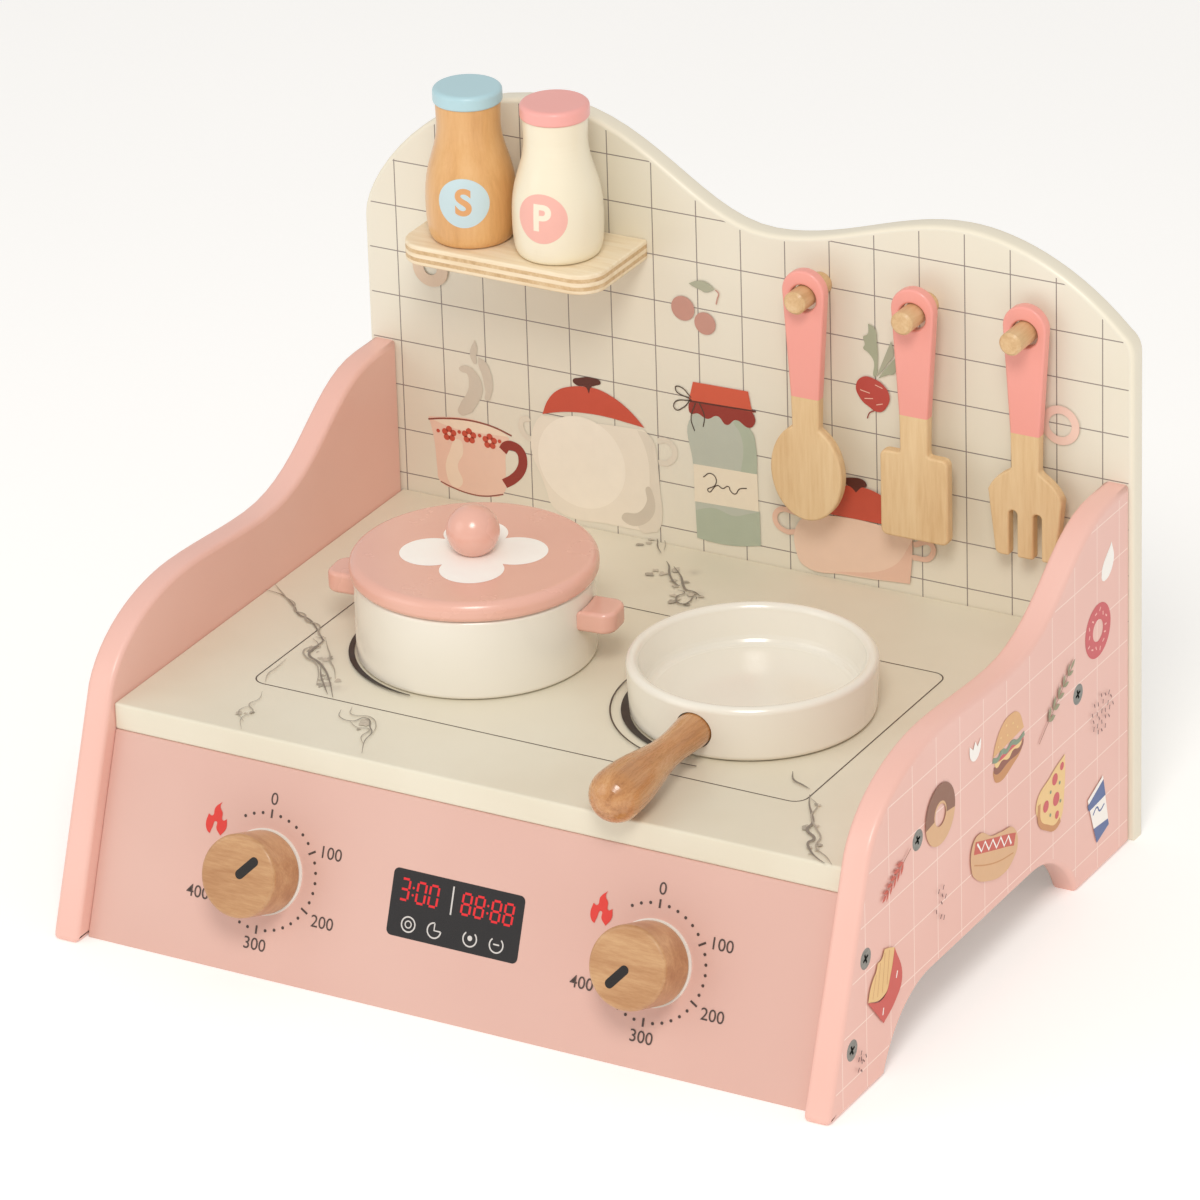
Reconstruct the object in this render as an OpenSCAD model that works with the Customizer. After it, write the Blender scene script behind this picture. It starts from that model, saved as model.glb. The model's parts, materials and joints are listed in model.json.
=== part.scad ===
// Toy kitchen for a table or the floor: a slanted control panel, a worktop with two
// cooking rings, a shelf with two shakers, three hanging utensils, a pot and a pan.
// X runs across the front, Y runs to the back, Z is up; the feet stand on Z = 0.

/* [Cabinet] */
// Width over the outsides of the two side panels
kitchen_w = 363; // [320:1:440]
// Distance from the back board's face to the toes of the side panels
kitchen_d = 275; // [228:1:332]
// Height of the worktop's upper face
worktop_z = 95; // [80:1:115]
// Thickness of the worktop
worktop_t = 12; // [9:1:18]
// Lean of the control panel and of the side panels' front edges, from upright
front_lean = 20; // [10:1:28]
// Thickness of the slanted control panel
front_t = 8; // [6:0.5:12]
// How far the control panel lies behind the side panels' front edges
front_recess = 8; // [4:1:14]

/* [Side panels] */
// Thickness of each side panel
side_t = 12; // [9:1:18]
// Height where a side panel meets the back board
side_back_h = 165; // [150:1:190]
// Height of the low point of the wavy upper edge
side_dip_h = 128.5; // [122:0.5:138]
// Distance of that low point from the back board
side_dip_y = 112; // [85:1:120]
// Height of the hump near the front
side_hump_h = 131.5; // [124:0.5:142]
// Distance of the hump from the toes
side_hump_from_toe = 103; // [90:1:112]
// Length of the front foot along the ground
front_foot = 49; // [35:1:60]
// Length of the rear foot along the ground
rear_foot = 51; // [35:1:60]
// Height of the arch between the feet
arch_h = 27.5; // [18:0.5:36]
// Radius of the arch's round ends
arch_r = 45; // [38:1:60]
// Rounding of the front toes
toe_round = 7; // [2:0.5:12]

/* [Back board] */
// How far the board stands out past each side panel
board_overhang = 1.5; // [0:0.5:8]
// Thickness of the back board
board_t = 10; // [6:1:15]
// Height of the left, higher crest
left_crest_h = 289.5; // [262:0.5:347]
// Height of the right, lower crest
right_crest_h = 266; // [250:1:300]
// Height of the valley between the crests
valley_h = 247.5; // [240:0.5:290]
// Height where the rounded top corners begin
shoulder_h = 222; // [200:1:235]

/* [Shelf and shakers] */
// Width of the plywood shelf
shelf_w = 95.5; // [79:0.5:114]
// Depth of the shelf
shelf_d = 48; // [42:1:60]
// Thickness of the shelf
shelf_t = 9; // [6:0.5:12]
// Radius of the shelf's front corners
shelf_corner_r = 12; // [4:1:20]
// Height of the shelf's upper face
shelf_z = 235; // [210:1:240]
// Distance of the shelf's middle to the left of the cabinet's middle
shelf_x = 91.3; // [70:0.1:100]
// Height of a shaker with its cap
shaker_h = 67.5; // [56:0.5:81]
// Widest radius of a shaker
shaker_r = 19.4; // [16:0.1:20]
// Radius of a shaker's neck
shaker_neck_r = 13.6; // [10.5:0.1:15.2]
// Radius of a shaker's cap
shaker_cap_r = 14.8; // [12:0.1:17]
// Thickness of a shaker's cap
shaker_cap_t = 6.5; // [5:0.5:10]
// Distance between the two shakers' middles
shaker_gap = 42; // [41:0.5:50]
// Distance of the shakers' middles from the board
shaker_y = 27; // [22:1:30]
// How far the two shakers stand to the left of the shelf's middle
shaker_shift = 0.7; // [-2:0.1:4]

/* [Pegs and utensils] */
// Diameter of a peg
peg_d = 10; // [8:0.5:12]
// Length of a peg in front of the board
peg_reach = 25; // [20:1:32]
// Height of the pegs' axes
peg_z = 230; // [222:1:236]
// Distance between neighbouring pegs
peg_pitch = 49.8; // [42:0.1:52]
// Distance of the middle peg to the right of the cabinet's middle
peg_x = 88.9; // [84:0.1:95]
// Radial clearance of a utensil's hole over its peg
peg_clear = 1; // [0.6:0.1:1.5]
// Length of each utensil
utensil_l = 114; // [95:1:137]
// Thickness of the utensils
utensil_t = 5.2; // [4:0.1:7]
// Width of a handle at its rounded top
handle_w = 19.8; // [18:0.1:25]
// Width of a handle where the paint ends
grip_w = 13.4; // [12:0.2:18]
// Length of the painted handle
grip_l = 57.5; // [48:0.5:69]
// Width of the bare neck below the handle
neck_w = 12.8; // [11:0.2:15]
// Width of the spoon's bowl
spoon_w = 33.7; // [28:0.1:41]
// Height of the spoon's bowl
spoon_bowl_h = 44; // [38:1:50]
// Width of the spatula's blade
spatula_w = 31.6; // [26:0.1:38]
// Length of the spatula's blade
spatula_blade_l = 39; // [32:1:44]
// Width of the fork's shoulders
fork_w = 34.3; // [28:0.1:41]
// Width of the fork across its tips
fork_tip_w = 28; // [24:0.5:30]
// Length of the fork's head
fork_head_l = 38; // [32:1:44]
// Width of a slot between two tines
slot_w = 3.8; // [3:0.1:4.6]
// Length of the slots
slot_l = 21; // [16:1:25]

/* [Pot] */
// Outer radius of the pot
pot_r = 50.5; // [42:0.5:56]
// Height of the pot without its lid
pot_h = 35.5; // [29.5:0.5:43]
// Wall of the pot
pot_wall = 6; // [4:0.5:8]
// Floor of the pot
pot_floor = 8; // [5:0.5:10]
// How far the lid's rim stands out past the pot
lid_lip = 1.7; // [1:0.1:4]
// Thickness of the lid's disc
lid_t = 8.5; // [7:0.5:12]
// Depth of the lid's spigot inside the pot
spigot_h = 4; // [3:0.5:6]
// Radial clearance of the spigot
spigot_clear = 1; // [0.5:0.1:2]
// Diameter of the ball on the lid
lid_ball_d = 22.4; // [18:0.2:26]
// Width of a pot handle
pot_grip_w = 18; // [15:1:24]
// How far a pot handle stands out from the wall
pot_grip_l = 15; // [12:1:18]
// Thickness of a pot handle
pot_grip_t = 9.4; // [8:0.2:11.2]
// How far the handles' upper faces lie below the pot's rim
pot_grip_drop = 6.7; // [4:0.1:10]
// Turn of the pot's handles from the X axis
pot_turn = 6; // [0:1:20]

/* [Pan] */
// Outer radius of the pan's rim
pan_r = 52; // [44:0.5:56]
// Outer radius of the pan's base
pan_base_r = 51; // [43:0.5:54]
// Height of the pan
pan_h = 24.5; // [20.5:0.5:29.5]
// Thickness of the pan's floor
pan_floor = 8; // [5:0.5:9]
// Inner radius at the rim
pan_mouth_r = 46.7; // [39:0.1:47.5]
// Inner radius at the floor
pan_floor_r = 42; // [36:0.5:44]
// Height of the handle's axis over the pan's base
pan_grip_z = 12.6; // [11.5:0.1:14]
// Diameter of the handle where it enters the pan
pan_root_d = 15.2; // [13:0.2:16.6]
// Diameter of the handle's slim part
pan_neck_d = 13.4; // [11:0.2:14]
// Diameter of the handle's bulb
pan_bulb_d = 22.8; // [19:0.2:24]
// Distance of the handle's tip from the pan's middle
pan_reach = 126.5; // [110:0.5:132]

/* [Cooking rings] */
// Distance of each ring's middle from the cabinet's middle, left
ring_left_x = 59.5; // [56:0.1:66]
// Distance of each ring's middle from the cabinet's middle, right
ring_right_x = 71; // [60:0.1:74]
// Distance of both rings' middles from the board
ring_y = 126; // [110:1:130]

/* [Knobs] */
// Radius of a knob
knob_r = 17.4; // [14:0.1:20]
// Height of a knob
knob_h = 20.5; // [17:0.5:24.5]
// Rounding of a knob's front edge
knob_edge = 1.6; // [0.5:0.1:3]
// Distance of each knob's axis from the cabinet's middle
knob_x = 90.5; // [70:0.5:100]
// Distance of the knobs' axes below the control panel's top edge, along the panel
knob_drop = 44.2; // [36:0.1:48]
// Thickness of the white washer under a knob
washer_t = 1; // [0.5:0.1:1.5]
// How far the white washer shows past the knob
washer_lip = 0.6; // [0:0.1:1.5]

/* [Fasteners] */
// Diameter of a panel screw's head
screw_head_d = 9; // [7:0.2:9.4]
// Diameter of a panel screw's shank
screw_d = 4; // [3:0.2:4.6]
// Length of a panel screw
screw_l = 38; // [28:1:45]
// Distance of the side screws below the worktop's upper face
top_screw_drop = 4; // [3.2:0.1:6]
// Distance of the side screws behind the control panel's face
front_screw_inset = 3.3; // [3:0.1:5]
// Diameter of the screw that holds a knob
knob_screw_d = 4; // [3:0.2:5]
// Diameter of the glued dowels
dowel_d = 6; // [4:0.2:7]

/* [Hidden] */
$fn = 96;

pink = [0.93, 0.71, 0.68];
cream = [0.90, 0.86, 0.78];
white_paint = [0.94, 0.92, 0.87];
ply = [0.87, 0.76, 0.58];
varnished = [0.68, 0.46, 0.28];
steel = [0.72, 0.74, 0.75];

// Small gap between a piece that lifts off and what it rests on
rest_gap = 0.3;
// Gap all round a glued or screwed joint
glue_gap = 0.05;
// Through cuts run past the face by this much
cut = 1;
// Steps along one curved stretch of an outline
steps = 14;

// Cabinet planes, measured from the back board's face (y = 0 there, minus to the front)
half_w = kitchen_w / 2;
inner_w = half_w - side_t;
worktop_under = worktop_z - worktop_t;
lean_run = tan(front_lean);
toe_y = -kitchen_d;
recess_run = front_recess / cos(front_lean);
front_top_y = toe_y + recess_run + worktop_under * lean_run;
// Foremost point of a knob: the lower part of its rounded edge
knob_top = washer_t + rest_gap + knob_h;
knob_foot_y = front_top_y - knob_drop * sin(front_lean);
knob_foot_z = worktop_under - knob_drop * cos(front_lean);
knob_nose_y = knob_foot_y - (knob_top - knob_edge) * cos(front_lean)
              - (knob_r - knob_edge) * sin(front_lean) - knob_edge;
nose_y = min(knob_nose_y, toe_y);
// The origin is at the middle of the whole object's box, on the ground
board_y = (-nose_y - board_t) / 2;
board_half_w = half_w + board_overhang;

pot_x = -ring_left_x;
pan_x = ring_right_x;
salt_x = -shelf_x - shaker_gap / 2 - shaker_shift;
pepper_x = salt_x + shaker_gap;
lid_z = worktop_z + rest_gap + pot_h + rest_gap;
lid_r = pot_r + lid_lip;
pan_z = worktop_z + rest_gap;
shaker_z = shelf_z + rest_gap;
// Gaps between the hanging utensils and the board
spoon_back = 11.8;
spatula_back = 9.8;
fork_back = 6.3;

// ---- curves ----

// Points of a cubic curve from a to d, without its last point
function curve(a, b, c, d, n = steps) = [for (i = [0:n - 1]) let (t = i / n, s = 1 - t)
    s * s * s * a + 3 * s * s * t * b + 3 * s * t * t * c + t * t * t * d];

// Points of an arc about the centre c, both ends included
function arc(c, r, from, to, n = steps) = [for (i = [0:n])
    let (w = from + (to - from) * i / n) c + r * [cos(w), sin(w)]];

// A half outline (x >= 0) joined with its mirror image
function both_sides(p) = concat(p, [for (i = [len(p) - 1:-1:0]) [-p[i][0], p[i][1]]]);

// ---- places ----

// Puts a piece whose y is measured from the back board's face into the shared frame
module from_board() {
    translate([0, board_y, 0]) children();
}

// Local x across, y up the slope and z out of the control panel, at a knob's foot
module on_front(x) {
    from_board() translate([x, knob_foot_y, knob_foot_z]) rotate([90 - front_lean, 0, 0]) children();
}

// Extrudes a (y, z) outline across, from x = 0 to x = t
module across(t) {
    rotate([90, 0, 90]) linear_extrude(t) children();
}

// Extrudes an (x, z) outline from y = 0 forwards to y = -t
module forwards(t) {
    rotate([90, 0, 0]) linear_extrude(t) children();
}

// ---- fasteners ----

// Countersunk screw: head's face at z = 0, shank down the negative z axis
module screw(gap = 0) {
    head_r = screw_head_d / 2;
    cone_h = head_r - screw_d / 2;
    translate([0, 0, -cone_h]) cylinder(r1 = screw_d / 2 + gap, r2 = head_r + gap, h = cone_h);
    translate([0, 0, -screw_l - gap]) cylinder(r = screw_d / 2 + gap, h = screw_l + gap);
}

module cross_slot() {
    slot_len = screw_head_d * 0.5;
    slot_thick = screw_head_d * 0.13;
    slot_deep = 1.4;
    for (turn = [0, 90])
        rotate([0, 0, turn + 20])
            translate([-slot_len / 2, -slot_thick / 2, -slot_deep])
                cube([slot_len, slot_thick, slot_deep + cut]);
}

module slotted_screw() {
    difference() {
        screw();
        cross_slot();
    }
}

// Line of the side screws inside the control panel, at a height z
function front_screw_y(z) = toe_y + recess_run + z * lean_run + front_screw_inset / cos(front_lean);

// Where the screws go through a side panel, as [y, z]
side_screw_spots = [[-kitchen_d * 0.71, worktop_z - top_screw_drop],
                    [-kitchen_d * 0.18, worktop_z - top_screw_drop],
                    [front_screw_y(worktop_under * 0.72), worktop_under * 0.72],
                    [front_screw_y(worktop_under * 0.30), worktop_under * 0.30]];

// Where the screws go through the back board, as [x, z]
back_screw_spots = [for (side = [-1, 1]) each [
    [side * (half_w - side_t / 2), side_back_h * 0.2],
    [side * (half_w - side_t / 2), side_back_h * 0.82],
    [side * inner_w * 0.5, worktop_z - worktop_t / 2]]];

shelf_screw_spots = [for (side = [-1, 1]) [-shelf_x + side * shelf_w * 0.3, shelf_z - shelf_t / 2]];

module at_side_screws(side) {
    for (spot = side_screw_spots)
        translate([side * half_w, spot[0], spot[1]]) rotate([0, side * 90, 0]) children();
}

module at_back_screws(spots) {
    for (spot = spots)
        translate([spot[0], board_t, spot[1]]) rotate([-90, 0, 0]) children();
}

module side_screws() {
    color(steel) from_board()
        for (side = [-1, 1])
            at_side_screws(side) slotted_screw();
}

module back_screws() {
    color(steel) from_board() at_back_screws(back_screw_spots) slotted_screw();
}

module shelf_screws() {
    color(steel) from_board() at_back_screws(shelf_screw_spots) slotted_screw();
}

// ---- cabinet ----

// Outline of a side panel as [y, z], from the board forwards and down to the toe
function side_outline() =
    let (dip = -side_dip_y,
         hump = toe_y + side_hump_from_toe,
         brow_z = worktop_z + 2,
         brow = [toe_y + brow_z * lean_run, brow_z])
    concat([[0, side_back_h]],
        curve([-16, side_back_h], [-55, side_back_h], [dip + 47, side_dip_h], [dip, side_dip_h]),
        curve([dip, side_dip_h], [(2 * dip + hump) / 3, side_dip_h],
              [(dip + 2 * hump) / 3, side_hump_h], [hump, side_hump_h], 6),
        curve([hump, side_hump_h], [hump - 28, side_hump_h],
              brow + 26 * [sin(front_lean), cos(front_lean)], brow),
        curve([toe_y + toe_round * lean_run, toe_round], [toe_y, 0], [toe_y, 0],
              [toe_y + toe_round, 0], 5),
        [[toe_y + toe_round, 0], [0, 0]]);

module arch_cut() {
    front_end = toe_y + front_foot;
    // Half width of the round end where it meets the ground
    chord = sqrt(arch_r * arch_r - pow(arch_r - arch_h, 2));
    centres = [front_end + chord, -rear_foot - chord];
    for (y = centres)
        translate([-cut, y, arch_h - arch_r]) rotate([0, 90, 0])
            cylinder(r = arch_r, h = side_t + 2 * cut);
    translate([-cut, centres[0], arch_h - arch_r])
        cube([side_t + 2 * cut, centres[1] - centres[0], arch_r]);
}

module side_panel(side) {
    color(pink) from_board()
        difference() {
            translate([side > 0 ? inner_w : -half_w, 0, 0])
                difference() {
                    across(side_t) polygon(side_outline());
                    arch_cut();
                }
            at_side_screws(side) screw(glue_gap);
            at_back_screws(back_screw_spots) screw(glue_gap);
        }
}

module left_side_panel() {
    side_panel(-1);
}

module right_side_panel() {
    side_panel(1);
}

// Wavy outline of the back board as [x, z], from the left corner to the right one
function board_outline() =
    let (w = board_half_w,
         crest = [-w * 0.497, left_crest_h],
         valley = [w * 0.076, valley_h],
         hump = [w * 0.572, right_crest_h],
         corner = [w - 5, shoulder_h + 10])
    concat([[-w, 0]],
        curve([-w, shoulder_h], [-w, shoulder_h + 18], [-w * 0.813, left_crest_h], crest),
        curve(crest, [-w * 0.242, left_crest_h], [-w * 0.115, valley_h], valley),
        curve(valley, [w * 0.25, valley_h], [w * 0.4, right_crest_h], hump),
        curve(hump, [w * 0.685, right_crest_h], [w * 0.836, right_crest_h - 9], corner),
        curve(corner, corner + [3.5, -2.8], [w, shoulder_h + 5], [w, shoulder_h], 6),
        [[w, shoulder_h], [w, 0]]);

peg_xs = [peg_x - peg_pitch, peg_x, peg_x + peg_pitch];

module back_board() {
    color(cream) from_board()
        difference() {
            translate([0, board_t, 0]) forwards(board_t) polygon(board_outline());
            for (x = peg_xs)
                translate([x, board_t + cut, peg_z]) rotate([90, 0, 0])
                    cylinder(d = peg_d + 2 * glue_gap, h = board_t + 2 * cut);
            at_back_screws(concat(back_screw_spots, shelf_screw_spots)) screw(glue_gap);
        }
}

module worktop() {
    color(cream) from_board()
        difference() {
            translate([-inner_w, front_top_y, worktop_under])
                cube([2 * inner_w, -front_top_y, worktop_t]);
            for (side = [-1, 1])
                at_side_screws(side) screw(glue_gap);
            at_back_screws(back_screw_spots) screw(glue_gap);
        }
}

module front_panel() {
    back_run = front_t / cos(front_lean);
    foot_y = front_top_y - worktop_under * lean_run;
    color(pink)
        difference() {
            from_board() translate([-inner_w, 0, 0]) across(2 * inner_w)
                polygon([[foot_y, 0], [foot_y + back_run, 0],
                         [front_top_y + back_run, worktop_under], [front_top_y, worktop_under]]);
            for (side = [-1, 1])
                on_front(side * knob_x)
                    translate([0, 0, -front_t - cut])
                        cylinder(d = knob_screw_d + 1, h = front_t + 2 * cut);
            from_board()
                for (side = [-1, 1])
                    at_side_screws(side) screw(glue_gap);
        }
}

// ---- shelf and shakers ----

module shelf() {
    r = shelf_corner_r;
    color(ply) from_board()
        difference() {
            translate([-shelf_x, 0, shelf_z - shelf_t])
                linear_extrude(shelf_t) {
                    translate([-shelf_w / 2, -shelf_d + r]) square([shelf_w, shelf_d - r]);
                    translate([-shelf_w / 2 + r, -shelf_d]) square([shelf_w - 2 * r, shelf_d]);
                    for (side = [-1, 1])
                        translate([side * (shelf_w / 2 - r), -shelf_d + r]) circle(r);
                }
            at_back_screws(shelf_screw_spots) screw(glue_gap);
        }
}

cap_tenon_r = 5;
cap_tenon_h = 6;

// Turned shaker body, without its cap
function shaker_outline() =
    let (top = shaker_h - shaker_cap_t,
         belly = top * 0.28,
         waist = top * 0.85,
         foot_r = shaker_r - 3.5)
    concat([[0, 0]],
        curve([foot_r, 0], [foot_r + 3, 0], [shaker_r, belly * 0.45], [shaker_r, belly], 10),
        curve([shaker_r, belly], [shaker_r, belly + top * 0.3],
              [shaker_neck_r, waist - top * 0.22], [shaker_neck_r, waist]),
        [[shaker_neck_r, waist], [shaker_neck_r + 0.3, top], [0, top]]);

module shaker(x, tint) {
    color(tint) from_board() translate([x, -shaker_y, shaker_z])
        difference() {
            rotate_extrude() polygon(shaker_outline());
            translate([0, 0, shaker_h - shaker_cap_t - cap_tenon_h - glue_gap])
                cylinder(r = cap_tenon_r + glue_gap, h = cap_tenon_h + cut);
        }
}

module shaker_cap(x, tint) {
    edge = 2;
    r = shaker_cap_r;
    t = shaker_cap_t;
    color(tint) from_board() translate([x, -shaker_y, shaker_z + shaker_h - t])
        rotate_extrude()
            polygon(concat([[0, -cap_tenon_h], [cap_tenon_r, -cap_tenon_h], [cap_tenon_r, 0]],
                arc([r - 1, 1], 1, -90, 0, 5), arc([r - edge, t - edge], edge, 0, 90, 8), [[0, t]]));
}

module salt_shaker() {
    shaker(salt_x, [0.80, 0.60, 0.38]);
}

module salt_cap() {
    shaker_cap(salt_x, [0.65, 0.82, 0.87]);
}

module pepper_shaker() {
    shaker(pepper_x, white_paint);
}

module pepper_cap() {
    shaker_cap(pepper_x, [0.91, 0.56, 0.57]);
}

// ---- pegs and utensils ----

module peg(x) {
    tip = 1;
    body_l = board_t + peg_reach - tip;
    color(ply) from_board() translate([x, board_t, peg_z]) rotate([90, 0, 0]) {
        cylinder(d = peg_d, h = body_l);
        translate([0, 0, body_l]) cylinder(d1 = peg_d, d2 = peg_d - 2 * tip, h = tip);
    }
}

module spoon_peg() {
    peg(peg_xs[0]);
}

module spatula_peg() {
    peg(peg_xs[1]);
}

module fork_peg() {
    peg(peg_xs[2]);
}

hole_r = peg_d / 2 + peg_clear;
// The handle's rounded top stands this far over its hole's middle
hole_drop = handle_w / 2 + 2.5;

// Right half of a handle as [x, z], from the top of the utensil down to the neck
function handle_half(neck_l) =
    let (r = handle_w / 2)
    concat(arc([0, -r], r, 90, 0, 10),
        [[grip_w / 2, -grip_l], [neck_w / 2, -grip_l - neck_l]]);

// Hangs a utensil: outline points are [x, z] down from its top edge
module hanging(x, back, outline) {
    top_z = peg_z - peg_clear + rest_gap + hole_drop;
    from_board()
        difference() {
            translate([x, -back, top_z]) forwards(utensil_t) polygon(outline);
            translate([x, -back + cut, top_z - hole_drop]) rotate([90, 0, 0])
                cylinder(r = hole_r, h = utensil_t + 2 * cut);
        }
}

module spoon() {
    bowl_z = -utensil_l + spoon_bowl_h / 2;
    bowl_from = 68;
    joint = [spoon_w / 2 * cos(bowl_from), bowl_z + spoon_bowl_h / 2 * sin(bowl_from)];
    bowl = [for (w = [bowl_from:-6:-90]) [spoon_w / 2 * cos(w), bowl_z + spoon_bowl_h / 2 * sin(w)]];
    half = concat(handle_half(max(-joint[1] - grip_l - 3, 2)), bowl);
    color(ply) hanging(peg_xs[0], spoon_back, both_sides(half));
}

module spatula() {
    blade_top = -utensil_l + spatula_blade_l;
    w = spatula_w / 2;
    round = 3;
    half = concat(handle_half(utensil_l - spatula_blade_l - grip_l - 3),
        curve([neck_w / 2, blade_top + 3], [neck_w / 2, blade_top], [neck_w / 2, blade_top],
              [neck_w / 2 + 3, blade_top], 5),
        arc([w - round, blade_top - round], round, 90, 0, 6),
        arc([w - round, -utensil_l + round], round, 0, -90, 6));
    color(ply) hanging(peg_xs[1], spatula_back, both_sides(half));
}

module fork() {
    head_top = -utensil_l + fork_head_l;
    w = fork_w / 2;
    tip_w = fork_tip_w / 2;
    round = 2.5;
    slot_x = fork_tip_w / 6 + slot_w / 4;
    half = concat(handle_half(utensil_l - fork_head_l - grip_l - 3),
        curve([neck_w / 2, head_top + 3], [neck_w / 2, head_top], [w - 4, head_top],
              [w, head_top - 9], 10),
        [[w, head_top - 9]],
        arc([tip_w - round, -utensil_l + round], round, 0, -90, 5));
    slot_top = -utensil_l + slot_l - slot_w / 2;
    top_z = peg_z - peg_clear + rest_gap + hole_drop;
    color(ply)
        difference() {
            hanging(peg_xs[2], fork_back, both_sides(half));
            from_board()
                for (side = [-1, 1])
                    translate([peg_xs[2] + side * slot_x, -fork_back + cut, top_z + slot_top]) {
                        rotate([90, 0, 0]) cylinder(d = slot_w, h = utensil_t + 2 * cut);
                        translate([-slot_w / 2, -utensil_t - 2 * cut, -slot_l])
                            cube([slot_w, utensil_t + 2 * cut, slot_l]);
                    }
        }
}

// ---- pot ----

grip_z = pot_h - pot_grip_drop - pot_grip_t / 2;
dowel_l = 12;
dowel_in = 4.5;

module at_pot() {
    from_board() translate([pot_x, -ring_y, worktop_z + rest_gap]) rotate([0, 0, pot_turn]) children();
}

// Dowel that ties a handle to the pot's wall, on the positive x side
module pot_dowel(gap = 0) {
    translate([pot_r - dowel_in - gap, 0, grip_z]) rotate([0, 90, 0])
        cylinder(d = dowel_d + 2 * gap, h = dowel_l + 2 * gap);
}

module pot_body() {
    foot = 2;
    lip = 1.5;
    inner = pot_r - pot_wall;
    hollow_round = 4;
    color(white_paint) at_pot()
        difference() {
            rotate_extrude()
                polygon(concat([[0, 0]], arc([pot_r - foot, foot], foot, -90, 0, 6),
                    arc([pot_r - lip, pot_h - lip], lip, 0, 90, 6),
                    arc([inner + lip, pot_h - lip], lip, 90, 180, 6),
                    arc([inner - hollow_round, pot_floor + hollow_round], hollow_round, 0, -90, 6),
                    [[0, pot_floor]]));
            for (turn = [0, 180])
                rotate([0, 0, turn]) pot_dowel(glue_gap);
        }
}

module pot_handle(turn) {
    round = 6;
    far = pot_r + pot_grip_l;
    w = pot_grip_w / 2;
    color([0.93, 0.66, 0.60]) at_pot() rotate([0, 0, turn])
        difference() {
            translate([0, 0, grip_z - pot_grip_t / 2])
                linear_extrude(pot_grip_t) {
                    translate([pot_r - 4, -w]) square([pot_grip_l + 4 - round, 2 * w]);
                    translate([pot_r - 4, -w + round]) square([pot_grip_l + 4, 2 * (w - round)]);
                    for (side = [-1, 1])
                        translate([far - round, side * (w - round)]) circle(round);
                }
            cylinder(r = pot_r + glue_gap, h = pot_h);
            pot_dowel(glue_gap);
        }
}

module pot_left_handle() {
    pot_handle(180);
}

module pot_right_handle() {
    pot_handle(0);
}

module pot_dowels() {
    color(ply) at_pot()
        for (turn = [0, 180])
            rotate([0, 0, turn]) pot_dowel();
}

ball_tenon_r = 4;
ball_tenon_h = 7;
// Height of the ball's middle over the lid's upper face
ball_rise = lid_ball_d / 2 - 1.5;

module pot_lid() {
    spigot_r = pot_r - pot_wall - spigot_clear;
    upper = 4;
    lower = 2.5;
    color([0.91, 0.66, 0.60]) from_board() translate([pot_x, -ring_y, lid_z])
        difference() {
            rotate_extrude()
                polygon(concat([[0, -spigot_h], [spigot_r - 1, -spigot_h], [spigot_r, 1 - spigot_h],
                    [spigot_r, 0]],
                    arc([lid_r - lower, lower], lower, -90, 0, 6),
                    arc([lid_r - upper, lid_t - upper], upper, 0, 90, 8), [[0, lid_t]]));
            translate([0, 0, lid_t - ball_tenon_h - glue_gap])
                cylinder(r = ball_tenon_r + glue_gap, h = ball_tenon_h + cut);
        }
}

module lid_ball() {
    r = lid_ball_d / 2;
    color([0.92, 0.63, 0.57]) from_board() translate([pot_x, -ring_y, lid_z + lid_t]) {
        intersection() {
            translate([0, 0, ball_rise]) sphere(r);
            cylinder(r = r + cut, h = lid_ball_d);
        }
        translate([0, 0, -ball_tenon_h]) cylinder(r = ball_tenon_r, h = ball_tenon_h + 2);
    }
}

// ---- pan ----

// The handle's root sits this deep in a round socket in the pan's wall
socket_depth = 4.5;
socket_r = pan_root_d / 2 + 0.5;

module at_pan() {
    from_board() translate([pan_x, -ring_y, pan_z]) children();
}

module pan_body() {
    foot = 3;
    lip = (pan_r - pan_mouth_r) / 2;
    color(white_paint) at_pan()
        difference() {
            rotate_extrude()
                polygon(concat([[0, 0]], arc([pan_base_r - foot, foot], foot, -90, 0, 6),
                    arc([pan_r - lip, pan_h - lip], lip, 0, 180, 12),
                    curve([pan_floor_r + 3, pan_floor + 6], [pan_floor_r + 2, pan_floor + 1],
                          [pan_floor_r + 1, pan_floor], [pan_floor_r - 3, pan_floor], 6),
                    [[0, pan_floor]]));
            translate([0, 0, pan_grip_z]) rotate([90, 0, 0])
                translate([0, 0, pan_r - 1 - socket_depth]) cylinder(r = socket_r, h = socket_depth + 4);
        }
}

// Turned handle as [radius, distance from the pan's middle]
function pan_handle_outline() =
    let (root = pan_root_d / 2,
         neck = pan_neck_d / 2,
         bulb = pan_bulb_d / 2,
         start = pan_r - 1 - socket_depth + glue_gap,
         neck_at = pan_r + 18,
         bulb_at = pan_reach - bulb)
    concat([[0, start], [root, start]],
        curve([root, pan_r + 2], [root - 0.4, pan_r + 8], [neck, neck_at - 8], [neck, neck_at], 8),
        curve([neck, neck_at], [neck, neck_at + 16], [bulb, bulb_at - 20], [bulb, bulb_at], 12),
        arc([0, bulb_at], bulb, 0, 90, 12));

module pan_handle() {
    color(varnished) at_pan() translate([0, 0, pan_grip_z]) rotate([90, 0, 0])
        rotate_extrude() polygon(pan_handle_outline());
}

// ---- knobs ----

knob_screw_bite = 14;
inner_washer_t = 1;
knob_screw_head_h = 2.4;

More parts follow.
